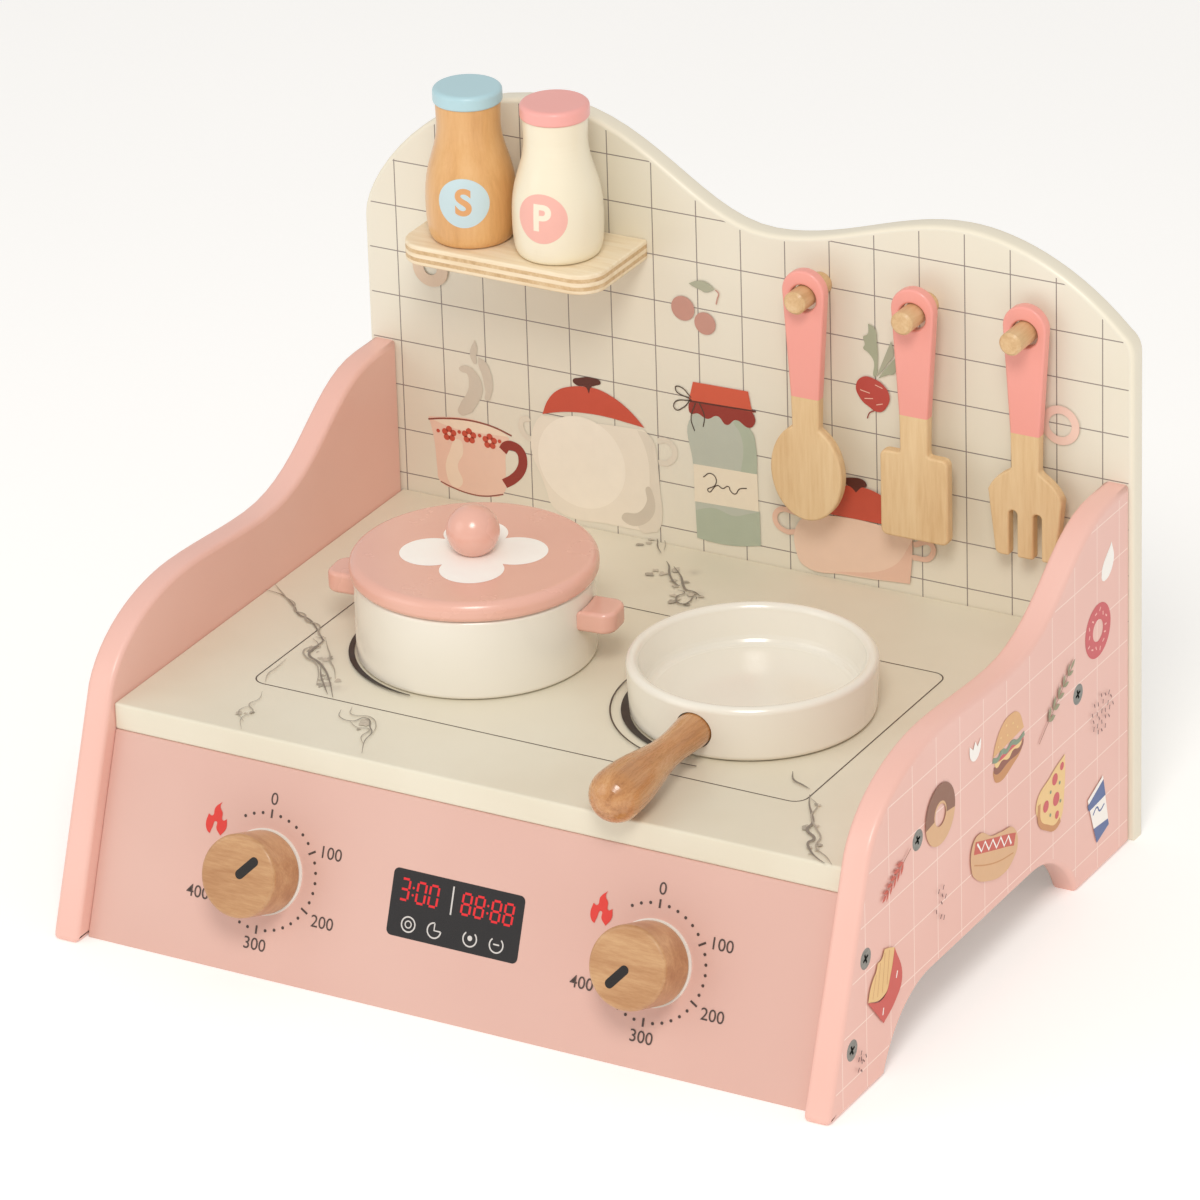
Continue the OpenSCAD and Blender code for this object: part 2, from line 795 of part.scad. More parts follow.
module knob(x, tint) {
    color(tint) on_front(x) translate([0, 0, washer_t + rest_gap])
        difference() {
            rotate_extrude()
                polygon(concat([[0, 0], [knob_r - 0.5, 0], [knob_r, 0.5]],
                    arc([knob_r - knob_edge, knob_h - knob_edge], knob_edge, 0, 90, 6), [[0, knob_h]]));
            translate([0, 0, -cut])
                cylinder(d = knob_screw_d + 2 * glue_gap, h = knob_screw_bite + cut + glue_gap);
        }
}

module knob_washer(x) {
    color("white") on_front(x)
        difference() {
            cylinder(r = knob_r + washer_lip, h = washer_t);
            translate([0, 0, -cut]) cylinder(d = knob_screw_d + 1, h = washer_t + 2 * cut);
        }
}

module inner_washer(x) {
    color(steel) on_front(x) translate([0, 0, -front_t - inner_washer_t])
        difference() {
            cylinder(d = knob_screw_d * 3, h = inner_washer_t);
            translate([0, 0, -cut]) cylinder(d = knob_screw_d + 1, h = inner_washer_t + 2 * cut);
        }
}

module knob_screw(x) {
    back = front_t + inner_washer_t + rest_gap;
    color(steel) on_front(x) translate([0, 0, -back]) {
        cylinder(d = knob_screw_d, h = back + washer_t + rest_gap + knob_screw_bite);
        difference() {
            translate([0, 0, -knob_screw_head_h]) cylinder(d = knob_screw_d * 2, h = knob_screw_head_h);
            for (turn = [0, 90])
                rotate([0, 0, turn])
                    translate([-knob_screw_d / 2, -0.5, -knob_screw_head_h - cut])
                        cube([knob_screw_d, 1, cut + 1.2]);
        }
    }
}

module left_knob() {
    knob(-knob_x, [0.74, 0.55, 0.36]);
}

module left_knob_screw() {
    knob_screw(-knob_x);
}

module left_knob_washer() {
    knob_washer(-knob_x);
}

module left_inner_washer() {
    inner_washer(-knob_x);
}

module right_knob() {
    knob(knob_x, [0.74, 0.55, 0.36]);
}

module right_knob_screw() {
    knob_screw(knob_x);
}

module right_knob_washer() {
    knob_washer(knob_x);
}

module right_inner_washer() {
    inner_washer(knob_x);
}

left_side_panel();
right_side_panel();
back_board();
worktop();
front_panel();
shelf();
spoon_peg();
spatula_peg();
fork_peg();
spoon();
spatula();
fork();
pot_body();
pot_left_handle();
pot_right_handle();
pot_dowels();
pot_lid();
lid_ball();
pan_body();
pan_handle();
salt_shaker();
salt_cap();
pepper_shaker();
pepper_cap();
left_knob();
left_knob_screw();
left_knob_washer();
left_inner_washer();
right_knob();
right_knob_screw();
right_knob_washer();
right_inner_washer();
side_screws();
back_screws();
shelf_screws();
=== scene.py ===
import json
from math import atan2, cos, degrees, pi, radians, sin
from random import Random

import bmesh
import bpy
from mathutils import Matrix, Vector
from mathutils.bvhtree import BVHTree


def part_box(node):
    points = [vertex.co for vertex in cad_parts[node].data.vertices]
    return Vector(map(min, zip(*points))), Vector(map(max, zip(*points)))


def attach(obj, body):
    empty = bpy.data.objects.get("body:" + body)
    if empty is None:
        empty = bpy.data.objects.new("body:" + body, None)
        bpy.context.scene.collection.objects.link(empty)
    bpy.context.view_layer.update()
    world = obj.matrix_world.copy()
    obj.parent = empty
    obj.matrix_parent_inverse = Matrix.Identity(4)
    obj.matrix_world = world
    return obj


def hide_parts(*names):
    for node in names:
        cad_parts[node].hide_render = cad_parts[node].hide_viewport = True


# The looks of the toy kitchen: painted planks with printed pictures, a turned pot,
# pan, jars and knobs, and three cut utensils.  Lengths in names ending in _mm are
# millimetres; everything placed in the scene is in metres.

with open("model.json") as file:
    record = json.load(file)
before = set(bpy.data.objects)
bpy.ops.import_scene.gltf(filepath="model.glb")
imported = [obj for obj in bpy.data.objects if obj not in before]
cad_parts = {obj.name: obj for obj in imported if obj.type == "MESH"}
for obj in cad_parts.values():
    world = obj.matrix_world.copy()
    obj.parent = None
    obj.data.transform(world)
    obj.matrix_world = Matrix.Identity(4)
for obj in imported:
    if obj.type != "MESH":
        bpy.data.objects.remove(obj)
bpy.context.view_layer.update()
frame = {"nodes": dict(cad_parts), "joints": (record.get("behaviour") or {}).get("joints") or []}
JOINTS = {joint["name"]: joint for joint in frame["joints"]}

MM = 0.001
X_AXIS, Y_AXIS, Z_AXIS = Vector((1, 0, 0)), Vector((0, 1, 0)), Vector((0, 0, 1))
FACE_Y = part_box("back_board")[0].y            # the board's front face, behind the worktop
WORKTOP_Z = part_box("worktop")[1].z
SLOPE = Vector(JOINTS["left_knob_turn"]["axis"])          # out of the leaning front panel
UP_SLOPE = SLOPE.cross(X_AXIS)                            # up along that panel
DIAL_DROP_MM = 44.2                                       # from the panel's top to the dials
SHARP = radians(40)                                       # steeper edges than this stay creases
LEVEL = 0.999                                             # how square a face looks along an axis


# ------------------------------ finishes

def linear(colour):
    """A colour from '#rrggbb' as the renderer counts it."""
    parts = [int(colour[i:i + 2], 16) / 255 for i in (1, 3, 5)]
    return (*[p / 12.92 if p < 0.04045 else ((p + 0.055) / 1.055) ** 2.4 for p in parts], 1)


class Value:
    """A node's output that does arithmetic: an expression on values adds its Math nodes."""

    def __init__(self, finish, socket):
        self.finish, self.socket = finish, socket

    def math(self, operation, *inputs):
        values = dict(enumerate(inputs))
        return self.finish.node("ShaderNodeMath", {"operation": operation}, values)

    def __add__(self, other):
        return self.math("ADD", self, other)

    def __sub__(self, other):
        return self.math("SUBTRACT", self, other)

    def __rsub__(self, other):
        return self.math("SUBTRACT", other, self)

    def __mul__(self, other):
        return self.math("MULTIPLY", self, other)

    __radd__, __rmul__ = __add__, __mul__

    def above(self, other):
        return self.math("GREATER_THAN", self, other)

    def between(self, low, high):
        """0 at low and under, 1 at high and over, smooth between."""
        settings = {"interpolation_type": "SMOOTHSTEP"}
        return self.finish.node("ShaderNodeMapRange", settings, {0: self, 1: low, 2: high})


class Finish:
    """One procedural material, on Object coordinates."""

    def __init__(self, name):
        self.material = bpy.data.materials.new(name)
        self.material.use_nodes = True
        self.tree = self.material.node_tree
        self.tree.nodes.clear()

    def node(self, kind, settings=None, values=None, out=0):
        made = self.tree.nodes.new(kind)
        for key, setting in (settings or {}).items():
            if key == "stops":
                elements = made.color_ramp.elements
                while len(elements) < len(setting):
                    elements.new(0.5)
                for element, (position, colour) in zip(elements, setting):
                    element.position, element.color = position, linear(colour)
            else:
                setattr(made, key, setting)
        for key, value in (values or {}).items():
            if isinstance(value, Value):
                self.tree.links.new(value.socket, made.inputs[key])
            else:
                made.inputs[key].default_value = value
        return Value(self, made.outputs[out]) if made.outputs else None

    def place(self, stretch=(1, 1, 1), turn=(0, 0, 0)):
        point = self.node("ShaderNodeTexCoord", out=3)
        if stretch == (1, 1, 1) and turn == (0, 0, 0):
            return point
        return self.node("ShaderNodeMapping", None,
                         {"Vector": point, "Scale": stretch, "Rotation": turn})

    def height(self):
        """How high a point of the piece is, in metres."""
        return self.node("ShaderNodeSeparateXYZ", None, {0: self.place()}, 2)

    def noise(self, scale, detail=2.0, rough=0.5, point=None, distortion=0.0):
        return self.node("ShaderNodeTexNoise", None, {
            "Vector": point or self.place(), "Scale": scale, "Detail": detail,
            "Roughness": rough, "Distortion": distortion})

    def blend(self, factor, low, high):
        low, high = (linear(c) if isinstance(c, str) else c for c in (low, high))
        return self.node("ShaderNodeMix", {"data_type": "RGBA"}, {0: factor, 6: low, 7: high}, 2)

    def ramp(self, factor, stops):
        return self.node("ShaderNodeValToRGB", {"stops": stops}, {0: factor})

    def bump(self, height, strength, distance=0.0002):
        return self.node("ShaderNodeBump", None,
                         {"Height": height, "Strength": strength, "Distance": distance})

    def surface(self, **values):
        named = {key.replace("_", " "): value for key, value in values.items()}
        shader = self.node("ShaderNodeBsdfPrincipled", None, named)
        self.node("ShaderNodeOutputMaterial", None, {0: shader})
        return self.material


def painted(name, colour, shade, rough=0.38, coat=0.25, peel=0.05):
    """Sprayed paint on smooth board: slight clouding, and an orange-peel skin."""
    finish = Finish(name)
    cloud = finish.noise(9, 3)
    skin = finish.noise(520, 2)
    return finish.surface(
        Base_Color=finish.blend(cloud.between(0.3, 0.7), colour, shade),
        Roughness=rough + 0.12 * finish.noise(60, 3),
        Coat_Weight=coat, Coat_Roughness=0.18,
        Normal=finish.bump(skin, peel))


def wooden(name, colours, stretch, rough=0.42, coat=0.1, pores=0.12, turn=(0, 0, 0)):
    """Fine straight-grained wood: broad bands, thin fibres and short pores."""
    finish = Finish(name)
    point = finish.place(stretch, turn)
    band = finish.noise(14, 3, 0.55, point, 0.6)
    fibre = finish.noise(120, 4, 0.7, point)
    figure = 0.62 * band + 0.38 * fibre
    colour = finish.ramp(figure, [(0.32, colours[0]), (0.5, colours[1]), (0.66, colours[2])])
    return finish.surface(
        Base_Color=colour, Roughness=rough + 0.15 * fibre,
        Coat_Weight=coat, Coat_Roughness=0.15,
        Normal=finish.bump(fibre, pores))


INKS = {
    "grid_grey": "#8b817b", "grid_pale": "#f8d9cd", "red": "#c8503a", "dark_red": "#93332a",
    "brown": "#5a2a22", "beige_pink": "#ecc9b4", "beige": "#f0dcc4", "steam": "#cfc4b2",
    "pot_pale": "#ece2d0", "pot_grey": "#e0d6c4", "pot_disc": "#f3ead9", "glass": "#b9bdae",
    "glass_green": "#aeb7a2", "label": "#e9ddc6", "cloth_red": "#cf5a40", "cherry": "#c18f80",
    "leaf_grey": "#a9aa92", "radish": "#b8443a", "leaf": "#a3a88d", "pot_rose": "#eacbb4",
    "pot_rose_deep": "#e4bda6", "ring_pink": "#efcdbd", "line_dark": "#4a3b31",
    "white": "#fdf6ef", "berry": "#cf5358", "sprinkle": "#f3b8ae", "green": "#7f9277",
    "bun": "#e0ac74", "bun_dark": "#c98a52",
    "patty": "#8e4f38", "cheese": "#efc988", "tan": "#dcae80", "sausage": "#c9513f",
    "blue": "#50679c", "fries": "#e8bf7e", "fries_red": "#cc4a3e", "choc": "#8a5a42",
    "dial_ink": "#4b3a34", "flame": "#d8362c", "display": "#151112", "digit_red": "#e0222a",
    "icon_white": "#cfcac6", "pointer": "#1d1917", "vein": "#a9a090", "vein_dark": "#857c70",
    "jar_blue": "#c2d7dc", "jar_pink": "#eeb3a6", "jar_tan": "#dba067", "jar_cream": "#efe6d0",
    "cup_line": "#8f4a3c", "dash_brown": "#6e3b38", "faint_brown": "#dcc4ab", "olive": "#93906c",
    # The near-black ink on the next line paints the shadows at the feet of the pot and the pan.
    "stem_brown": "#b07a66", "foot_shadow": "#2c211c", "vein_soft": "#c3b8a6",
}
ink_finishes = {}


def ink(name):
    """Printed ink, a little uneven as on absorbent board."""
    if name not in ink_finishes:
        finish = Finish("ink_" + name)
        base = linear(INKS[name])
        paler = tuple(min(1, c * 1.06 + 0.004) for c in base[:3]) + (1,)
        glossy = name in ("display", "digit_red", "icon_white", "pointer")
        ink_finishes[name] = finish.surface(
            Base_Color=finish.blend(finish.noise(160, 3), base, paler),
            Roughness=0.2 if glossy else 0.42 + 0.1 * finish.noise(400, 2),
            Coat_Weight=0.5 if name == "display" else 0.15)
    return ink_finishes[name]


def worktop_finish():
    """Cream board with soft grey clouds beside its printed veins."""
    finish = Finish("worktop_cream")
    point = finish.place()
    cloud = finish.noise(7, 4, 0.6)
    colour = finish.blend(cloud.between(0.35, 0.7), "#e6dfcb", "#dfd6c0")
    ragged = finish.noise(45, 4, 0.65)
    for x_mm, y_mm, size_mm, depth in GREY_CLOUDS:
        centre = Vector((x_mm * MM, FACE_Y + y_mm * MM, WORKTOP_Z))
        away = finish.node("ShaderNodeVectorMath", {"operation": "DISTANCE"}, {0: point, 1: centre}, 1)
        patch = (1 - (away + 0.012 * ragged).between(0.3 * size_mm * MM, 1.5 * size_mm * MM)) * depth
        colour = finish.blend(patch * ragged.between(0.3, 0.6), colour, "#a59a8c")
    return finish.surface(
        Base_Color=colour, Roughness=0.4 + 0.12 * finish.noise(70, 3), Coat_Weight=0.2,
        Coat_Roughness=0.2, Normal=finish.bump(finish.noise(480, 2), 0.04))


def shelf_finish():
    """Birch plywood: pale faces and five plies that show along the edges."""
    finish = Finish("birch_plywood")
    bottom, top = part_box("shelf")[0].z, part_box("shelf")[1].z
    plies = 5
    layer = (finish.height() - bottom) * (plies / (top - bottom)) + 0.5
    cross = layer.math("PINGPONG", layer, 1.0).between(0.4, 0.6)
    grain = finish.noise(60, 4, 0.6, finish.place((0.5, 5, 5)))
    pale = finish.ramp(grain, [(0.3, "#e9d3ae"), (0.5, "#f2e0c0"), (0.7, "#f6e7cc")])
    deep = finish.ramp(finish.noise(300, 4, 0.7), [(0.3, "#c4a277"), (0.5, "#d6b78b"), (0.7, "#e2c8a0")])
    inside = (layer - 1.5).above(0) * (1 - (layer - plies + 0.5).above(0))
    return finish.surface(
        Base_Color=finish.blend((1 - cross) * inside, pale, deep), Roughness=0.55 + 0.2 * grain,
        Normal=finish.bump(finish.noise(420, 3, 0.6, finish.place((0.3, 3, 3))), 0.2))


def utensil_finish(node):
    """Pale bare wood, with the top of the handle dipped in pink paint."""
    grip_mm = 57.5
    finish = Finish(node + "_dipped")
    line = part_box(node)[1].z - grip_mm * MM
    fibre = finish.noise(90, 5, 0.65, finish.place((6, 6, 0.5)))
    band = finish.noise(16, 3, 0.55, finish.place((5, 5, 0.5)), 0.5)
    wood = finish.ramp(0.55 * band + 0.45 * fibre,
                       [(0.3, "#d2aa78"), (0.5, "#e2c192"), (0.7, "#ecd0a4")])
    paint = finish.blend(finish.noise(30, 3), "#f3a69a", "#f09e92")
    dipped = finish.height().above(line)
    return finish.surface(
        Base_Color=finish.blend(dipped, wood, paint),
        Roughness=0.55 - 0.15 * dipped + 0.1 * fibre, Coat_Weight=0.2 * dipped,
        Normal=finish.bump(fibre * (1 - dipped), 0.15))


# The grey clouds in the worktop: x and y from the board's face, size, and depth of the grey.
GREY_CLOUDS = [(-111, -164, 9, 0.75), (-94, -184, 9, 0.7), (-118, -152, 5, 0.6), (148, -222, 8, 0.45),
               (134, -196, 6, 0.35), (-13, -22, 8, 0.8), (-3, -40, 9, 0.85), (6, -52, 7, 0.5)]

PINK, PINK_DEEP = "#f1c1b4", "#eebbad"
CREAM = "#e9e3d2"
OFF_WHITE = "#efe9dc"
SALMON = "#e9b4a2"

pink_paint = painted("pink_paint", PINK, PINK_DEEP)
# The front panel has the same pink paint as the side panels, painted darker here as painted shade on the
# front panel.
front_pink_shaded = painted("front_pink_shaded", "#ddb4a7", "#d9aea1")
cream_paint = painted("cream_paint", CREAM, "#e6dfcc")
cream_edge = painted("cream_edge", "#eee6d2", "#eae1cb")
white_gloss = painted("white_gloss", OFF_WHITE, "#ece5d6", 0.16, 0.6, 0.01)
salmon_gloss = painted("salmon_gloss", SALMON, "#e6ae9c", 0.2, 0.5, 0.01)
blue_paint = painted("blue_paint", "#b4d6de", "#aed0d9", 0.35)
rose_paint = painted("rose_paint", "#f5b0a8", "#f2a9a1", 0.35)
ivory_paint = painted("ivory_paint", "#f3ead2", "#f0e6cc", 0.28, 0.4)
matte_white = painted("matte_white", "#f5f0e8", "#efe9e0", 0.6, 0.0)
handle_wood = wooden("handle_wood", ("#a06838", "#c08752", "#d2a06c"), (7, 0.6, 7), 0.2, 0.6, 0.05)
knob_wood = wooden("knob_wood", ("#a87448", "#bd8d60", "#cfa476"), (1.2, 8, 8), 0.3, 0.4, 0.08,
                   (0, 0, 0.25))
jar_wood = wooden("jar_wood", ("#d39d60", "#dfab6e", "#e5b57b"), (7, 7, 0.7), 0.3, 0.35, 0.06)
peg_wood = wooden("peg_wood", ("#c9a06e", "#dab585", "#e5c69a"), (8, 0.8, 8), 0.4, 0.25, 0.1)
dowel_wood = wooden("dowel_wood", ("#c79a63", "#dbb583", "#e6c79a"), (1, 8, 8))


def zinc_finish():
    finish = Finish("zinc_steel")
    scratch = finish.noise(900, 3, 0.6, finish.place((1, 0.3, 1)))
    return finish.surface(Base_Color=finish.blend(scratch, "#9fa09a", "#6f716d"), Metallic=1.0,
                          Roughness=0.28 + 0.2 * scratch, Normal=finish.bump(scratch, 0.08))


zinc_steel = zinc_finish()


# ------------------------------ meshes

def merged(node):
    """A copy of a CAD node's mesh with its loose triangles joined up and flat faces made whole."""
    shape = bmesh.new()
    shape.from_mesh(frame["nodes"][node].data)
    bmesh.ops.remove_doubles(shape, verts=shape.verts, dist=2e-6)
    bmesh.ops.dissolve_limit(shape, angle_limit=radians(0.6), verts=shape.verts, edges=shape.edges)
    return shape


def span(verts):
    verts = list(verts)
    return [max(v.co[i] for v in verts) - min(v.co[i] for v in verts) for i in range(3)]


def sharp_loops(shape, share, broad):
    """Its sharp edges, leaving out groups much smaller than the whole, such as screw holes.
    With broad, only the outlines of the faces that look along that direction."""
    left = {e for e in shape.edges if len(e.link_faces) == 2 and e.calc_face_angle() > SHARP}
    if broad:
        left = {e for e in left if any(abs(f.normal.dot(broad)) > LEVEL for f in e.link_faces)}
    whole = max(span(shape.verts))
    kept = []
    while left:
        group, front = set(), [left.pop()]
        while front:
            edge = front.pop()
            group.add(edge)
            for vert in edge.verts:
                for other in vert.link_edges:
                    if other in left:
                        left.remove(other)
                        front.append(other)
        if max(span({v for e in group for v in e.verts})) >= share * whole:
            kept += group
    return kept


def rounded(node, radius_mm, segments=3, share=0.0, broad=None):
    """A node's mesh with its sharp edges rounded off."""
    shape = merged(node)
    bmesh.ops.bevel(shape, geom=sharp_loops(shape, share, broad), offset=radius_mm * MM,
                    offset_type="OFFSET", segments=segments, profile=0.5, affect="EDGES",
                    clamp_overlap=False, material=-1)
    bmesh.ops.recalc_face_normals(shape, faces=shape.faces)
    return shape


def hardened(mesh, broad):
    """Keeps the broad flat faces flat to the eye, and lets only the rounded edges shade round."""
    flat = {}
    for face in mesh.polygons:
        if abs(face.normal.dot(broad)) > LEVEL:
            for vert in face.vertices:
                flat[vert] = broad if face.normal.dot(broad) > 0 else -broad
    normals = [Vector()] * len(mesh.loops)
    for face in mesh.polygons:
        for corner in face.loop_indices:
            level = flat.get(mesh.loops[corner].vertex_index)
            if level and face.normal.dot(level) > 0.3:
                normals[corner] = level
    mesh.normals_split_custom_set(normals)


def linked(name, data):
    made = bpy.data.objects.new(name, data)
    bpy.context.scene.collection.objects.link(made)
    return made


def meshed(name, shape, finishes):
    """An object from a mesh being made, with its materials."""
    mesh = bpy.data.meshes.new(name)
    shape.to_mesh(mesh)
    shape.free()
    for finish in finishes:
        mesh.materials.append(finish)
    return linked(name, mesh)


def piece(name, shape, body, finishes, stands_for=(), weigh=True, broad=None):
    """A finished mesh as an object that rides on its body."""
    made = meshed(name, shape, finishes)
    mesh = made.data
    mesh.polygons.foreach_set("use_smooth", [True] * len(mesh.polygons))
    mesh.set_sharp_from_angle(angle=SHARP)
    if broad:
        hardened(mesh, broad)
    elif weigh:
        weighted = made.modifiers.new("even_shading", "WEIGHTED_NORMAL")
        weighted.keep_sharp = True
    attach(made, body)
    if stands_for:
        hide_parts(*stands_for)


def finished(node, finish):
    """A CAD node that keeps its shape and takes a better material."""
    shown = frame["nodes"][node]
    shown.data.materials.clear()
    shown.data.materials.append(finish)


LINE_MM = 0.5


def ruled(shape, outward, lines):
    """Cuts grid lines into the flat face that looks outward and gives them slot 1."""
    flat = [f for f in shape.faces if f.normal.dot(outward) > LEVEL]
    level = max(f.calc_center_median().dot(outward) for f in flat)

    def print_faces():
        return [f for f in shape.faces if f.normal.dot(outward) > LEVEL
                and abs(f.calc_center_median().dot(outward) - level) < 1e-5]

    for axis, values_mm in lines:
        for value in values_mm:
            for side in (-1, 1):
                at = axis * ((value + side * LINE_MM / 2) * MM)
                parts = dict.fromkeys(part for face in print_faces()
                                      for part in (face, *face.edges, *face.verts))
                bmesh.ops.bisect_plane(shape, geom=list(parts), plane_co=at, plane_no=axis, dist=1e-6)
    for face in print_faces():
        for axis, values_mm in lines:
            places = [v.co.dot(axis) for v in face.verts]
            off = min(abs(face.calc_center_median().dot(axis) - value * MM) for value in values_mm)
            if max(places) - min(places) < 1.3 * LINE_MM * MM and off < LINE_MM * MM / 2:
                face.material_index = 1


# ------------------------------ prints

def points(text):
    """'x,y x,yc ...' as [(x, y, is a corner)]."""
    found = []
    for word in text.split():
        corner = word.endswith("c")
        x, y = word.rstrip("c").split(",")
        found.append((float(x), float(y), corner))
    return found


class Print:
    """Flat ink shapes on one face, in millimetres along right and up from its origin."""

    SKIN_MM, STEP_MM = 0.05, 0.012

    def __init__(self, name, body, slot, origin, right, up):
        self.name, self.body, self.slot = name, body, slot
        normal = right.cross(up)
        turn = Matrix((right, up, normal)).transposed().to_4x4()
        self.seat = Matrix.Translation(origin) @ turn @ Matrix.Scale(MM, 4)
        self.shape, self.inks, self.layer = bmesh.new(), [], 0

    def lay(self, flat, colour, at, turn=0.0, same=False):
        """Puts a flat mesh on the face, one layer above the last."""
        if not same:
            self.layer += 1
        if colour not in self.inks:
            self.inks.append(colour)
        height = self.SKIN_MM + self.STEP_MM * self.layer
        place = (self.seat @ Matrix.Translation((at[0], at[1], height)) @ Matrix.Rotation(turn, 4, "Z")
                 @ Matrix.Diagonal((1, 1, 0, 1)))
        for face in flat.faces:
            face.material_index = self.inks.index(colour)
        bmesh.ops.transform(flat, matrix=place, verts=flat.verts)
        normal = self.seat.to_3x3() @ Z_AXIS
        flat.normal_update()
        bmesh.ops.reverse_faces(flat, faces=[f for f in flat.faces if f.normal.dot(normal) < 0])
        mesh = bpy.data.meshes.new("layer")
        flat.to_mesh(mesh)
        flat.free()
        self.shape.from_mesh(mesh)
        bpy.data.meshes.remove(mesh)

    def from_curve(self, curve):
        holder = bpy.data.objects.new("outline", curve)
        mesh = bpy.data.meshes.new_from_object(holder)
        flat = bmesh.new()
        flat.from_mesh(mesh)
        bpy.data.objects.remove(holder)
        bpy.data.meshes.remove(mesh)
        bpy.data.curves.remove(curve)
        return flat

    def spline(self, curve, listed, closed):
        line = curve.splines.new("BEZIER")
        line.bezier_points.add(len(listed) - 1)
        for point, (x, y, corner) in zip(line.bezier_points, listed):
            point.co = (x, y, 0)
            point.handle_left_type = point.handle_right_type = "VECTOR" if corner else "AUTO"
        line.use_cyclic_u = closed
        line.resolution_u = 8
        return line

    def fill(self, colour, text, at=(0, 0), turn=0.0, **more):
        curve = bpy.data.curves.new("fill", "CURVE")
        curve.dimensions, curve.fill_mode = "2D", "BOTH"
        self.spline(curve, points(text) if isinstance(text, str) else text, True)
        self.lay(self.from_curve(curve), colour, at, turn, **more)

    def line(self, colour, width, text, at=(0, 0), closed=False, taper=False, **more):
        curve = bpy.data.curves.new("line", "CURVE")
        curve.dimensions, curve.twist_mode, curve.extrude = "3D", "Z_UP", width / 2
        listed = points(text) if isinstance(text, str) else text
        line = self.spline(curve, listed, closed)
        for place, point in enumerate(line.bezier_points):
            point.tilt = pi / 2
            if taper:
                share = place / (len(listed) - 1)
                point.radius = 0.25 + 0.75 * sin(pi * share)
        self.lay(self.from_curve(curve), colour, at, **more)

    def stroke(self, colour, width, length, x, y, turn):
        """A short straight stroke about a point, on the present layer."""
        dx, dy = length / 2 * cos(turn), length / 2 * sin(turn)
        self.line(colour, width, [(-dx, -dy, True), (dx, dy, True)], (x, y), same=True)

    def disc(self, colour, x, y, radius, **more):
        flat = bmesh.new()
        bmesh.ops.create_circle(flat, cap_ends=True, radius=radius, segments=int(3 * radius) + 16)
        self.lay(flat, colour, (x, y), **more)

    def ring(self, colour, width, x, y, radius, start=0, end=360, **more):
        count = 24
        closed = end - start >= 360
        step = (end - start) / (count if closed else count - 1)
        angles = [radians(start + step * i) for i in range(count)]
        self.line(colour, width, [(radius * cos(a), radius * sin(a), False) for a in angles], (x, y),
                  closed=closed, **more)

    def word(self, colour, text, height, x, y, weight):
        """Letters of a height, centred on a point and made heavier by weight all round."""
        capital = 0.73                                    # of the font's size
        letters = bpy.data.curves.new("word", "FONT")
        letters.body, letters.size = text, height / capital
        letters.align_x, letters.align_y = "CENTER", "CENTER"
        letters.offset = weight
        self.lay(self.from_curve(letters), colour, (x, y))

    def done(self):
        piece(self.name, self.shape, self.body, [ink(name) for name in self.inks],
              weigh=False)


def strewn(count, width, height, seed):
    """Scattered places in an oval, none close to another, the same on every run."""
    apart = 0.16
    draws, found = Random(seed), []
    while len(found) < count:
        x, y = draws.uniform(-0.5, 0.5), draws.uniform(-0.5, 0.5)
        if x * x + y * y < 0.25 and all((x - a) ** 2 + (y - b) ** 2 > apart ** 2 for a, b in found):
            found.append((x, y))
    return [(x * width, y * height, draws.uniform(0.25, 0.75) * pi) for x, y in found]


# ------------------------------ planks

GRID_MM = 21.0                 # the pitch of the printed squares
HOLES_OUT = 0.3                # loops of edge under this share of a plank's length stay sharp


def squares(first_mm, count, step_mm=GRID_MM):
    """The places of a row of grid lines."""
    return [first_mm + step_mm * i for i in range(count)]


def back_board():
    """Printed on its front, with a plain paler edge and back."""
    leftmost_mm, lowest_mm = -166.98, 102.68
    board = rounded("back_board", 2.2, 4, HOLES_OUT, Y_AXIS)
    ruled(board, -Y_AXIS, [(X_AXIS, squares(leftmost_mm, 17)), (Z_AXIS, squares(lowest_mm, 9))])
    for face in board.faces:
        if face.normal.y > -0.9:
            face.material_index = 2
    piece("printed_back_board", board, "cabinet", [cream_paint, ink("grid_grey"), cream_edge],
          ["back_board"], broad=Y_AXIS)


def side_panel(side, outward):
    """Its squares are counted from the board's face and from the table."""
    hindmost_mm, lowest_mm = FACE_Y / MM - 10.3, 11.6
    node = side + "_side_panel"
    plank = rounded(node, 2.4, 4, HOLES_OUT, X_AXIS)
    # A row of points above the toe keeps its bend's shading out of the long front edge.
    bmesh.ops.bisect_plane(plank, geom=plank.verts[:] + plank.edges[:] + plank.faces[:],
                           plane_co=(0, 0, 3 * MM), plane_no=Z_AXIS, dist=1e-7)
    ruled(plank, outward, [(Y_AXIS, squares(hindmost_mm, 13, -GRID_MM)),
                           (Z_AXIS, squares(lowest_mm, 8))])
    piece("painted_" + node, plank, "cabinet", [pink_paint, ink("grid_pale")], [node],
          broad=X_AXIS)


def plain_planks():
    for node, name, radius_mm, finish, slot in (
            ("worktop", "veined_worktop", 1.2, worktop_finish(), "worktop_print"),
            ("front_panel", "painted_front_panel", 0.8, front_pink_shaded, "pink_paint"),
            ("shelf", "plywood_shelf", 0.9, shelf_finish(), "bare_plywood")):
        piece(name, rounded(node, radius_mm, share=HOLES_OUT), "cabinet", [finish], [node])


def utensils():
    for node, radius_mm in (("spoon", 1.1), ("spatula", 1.1), ("fork", 1.0)):
        piece("dipped_" + node, rounded(node, radius_mm), node, [utensil_finish(node)],
              [node])


def pot_handles():
    for side in ("left", "right"):
        node = f"pot_{side}_handle"
        piece(f"rounded_{side}_handle", rounded(node, 1.8, broad=Z_AXIS), "pot", [salmon_gloss],
              [node])


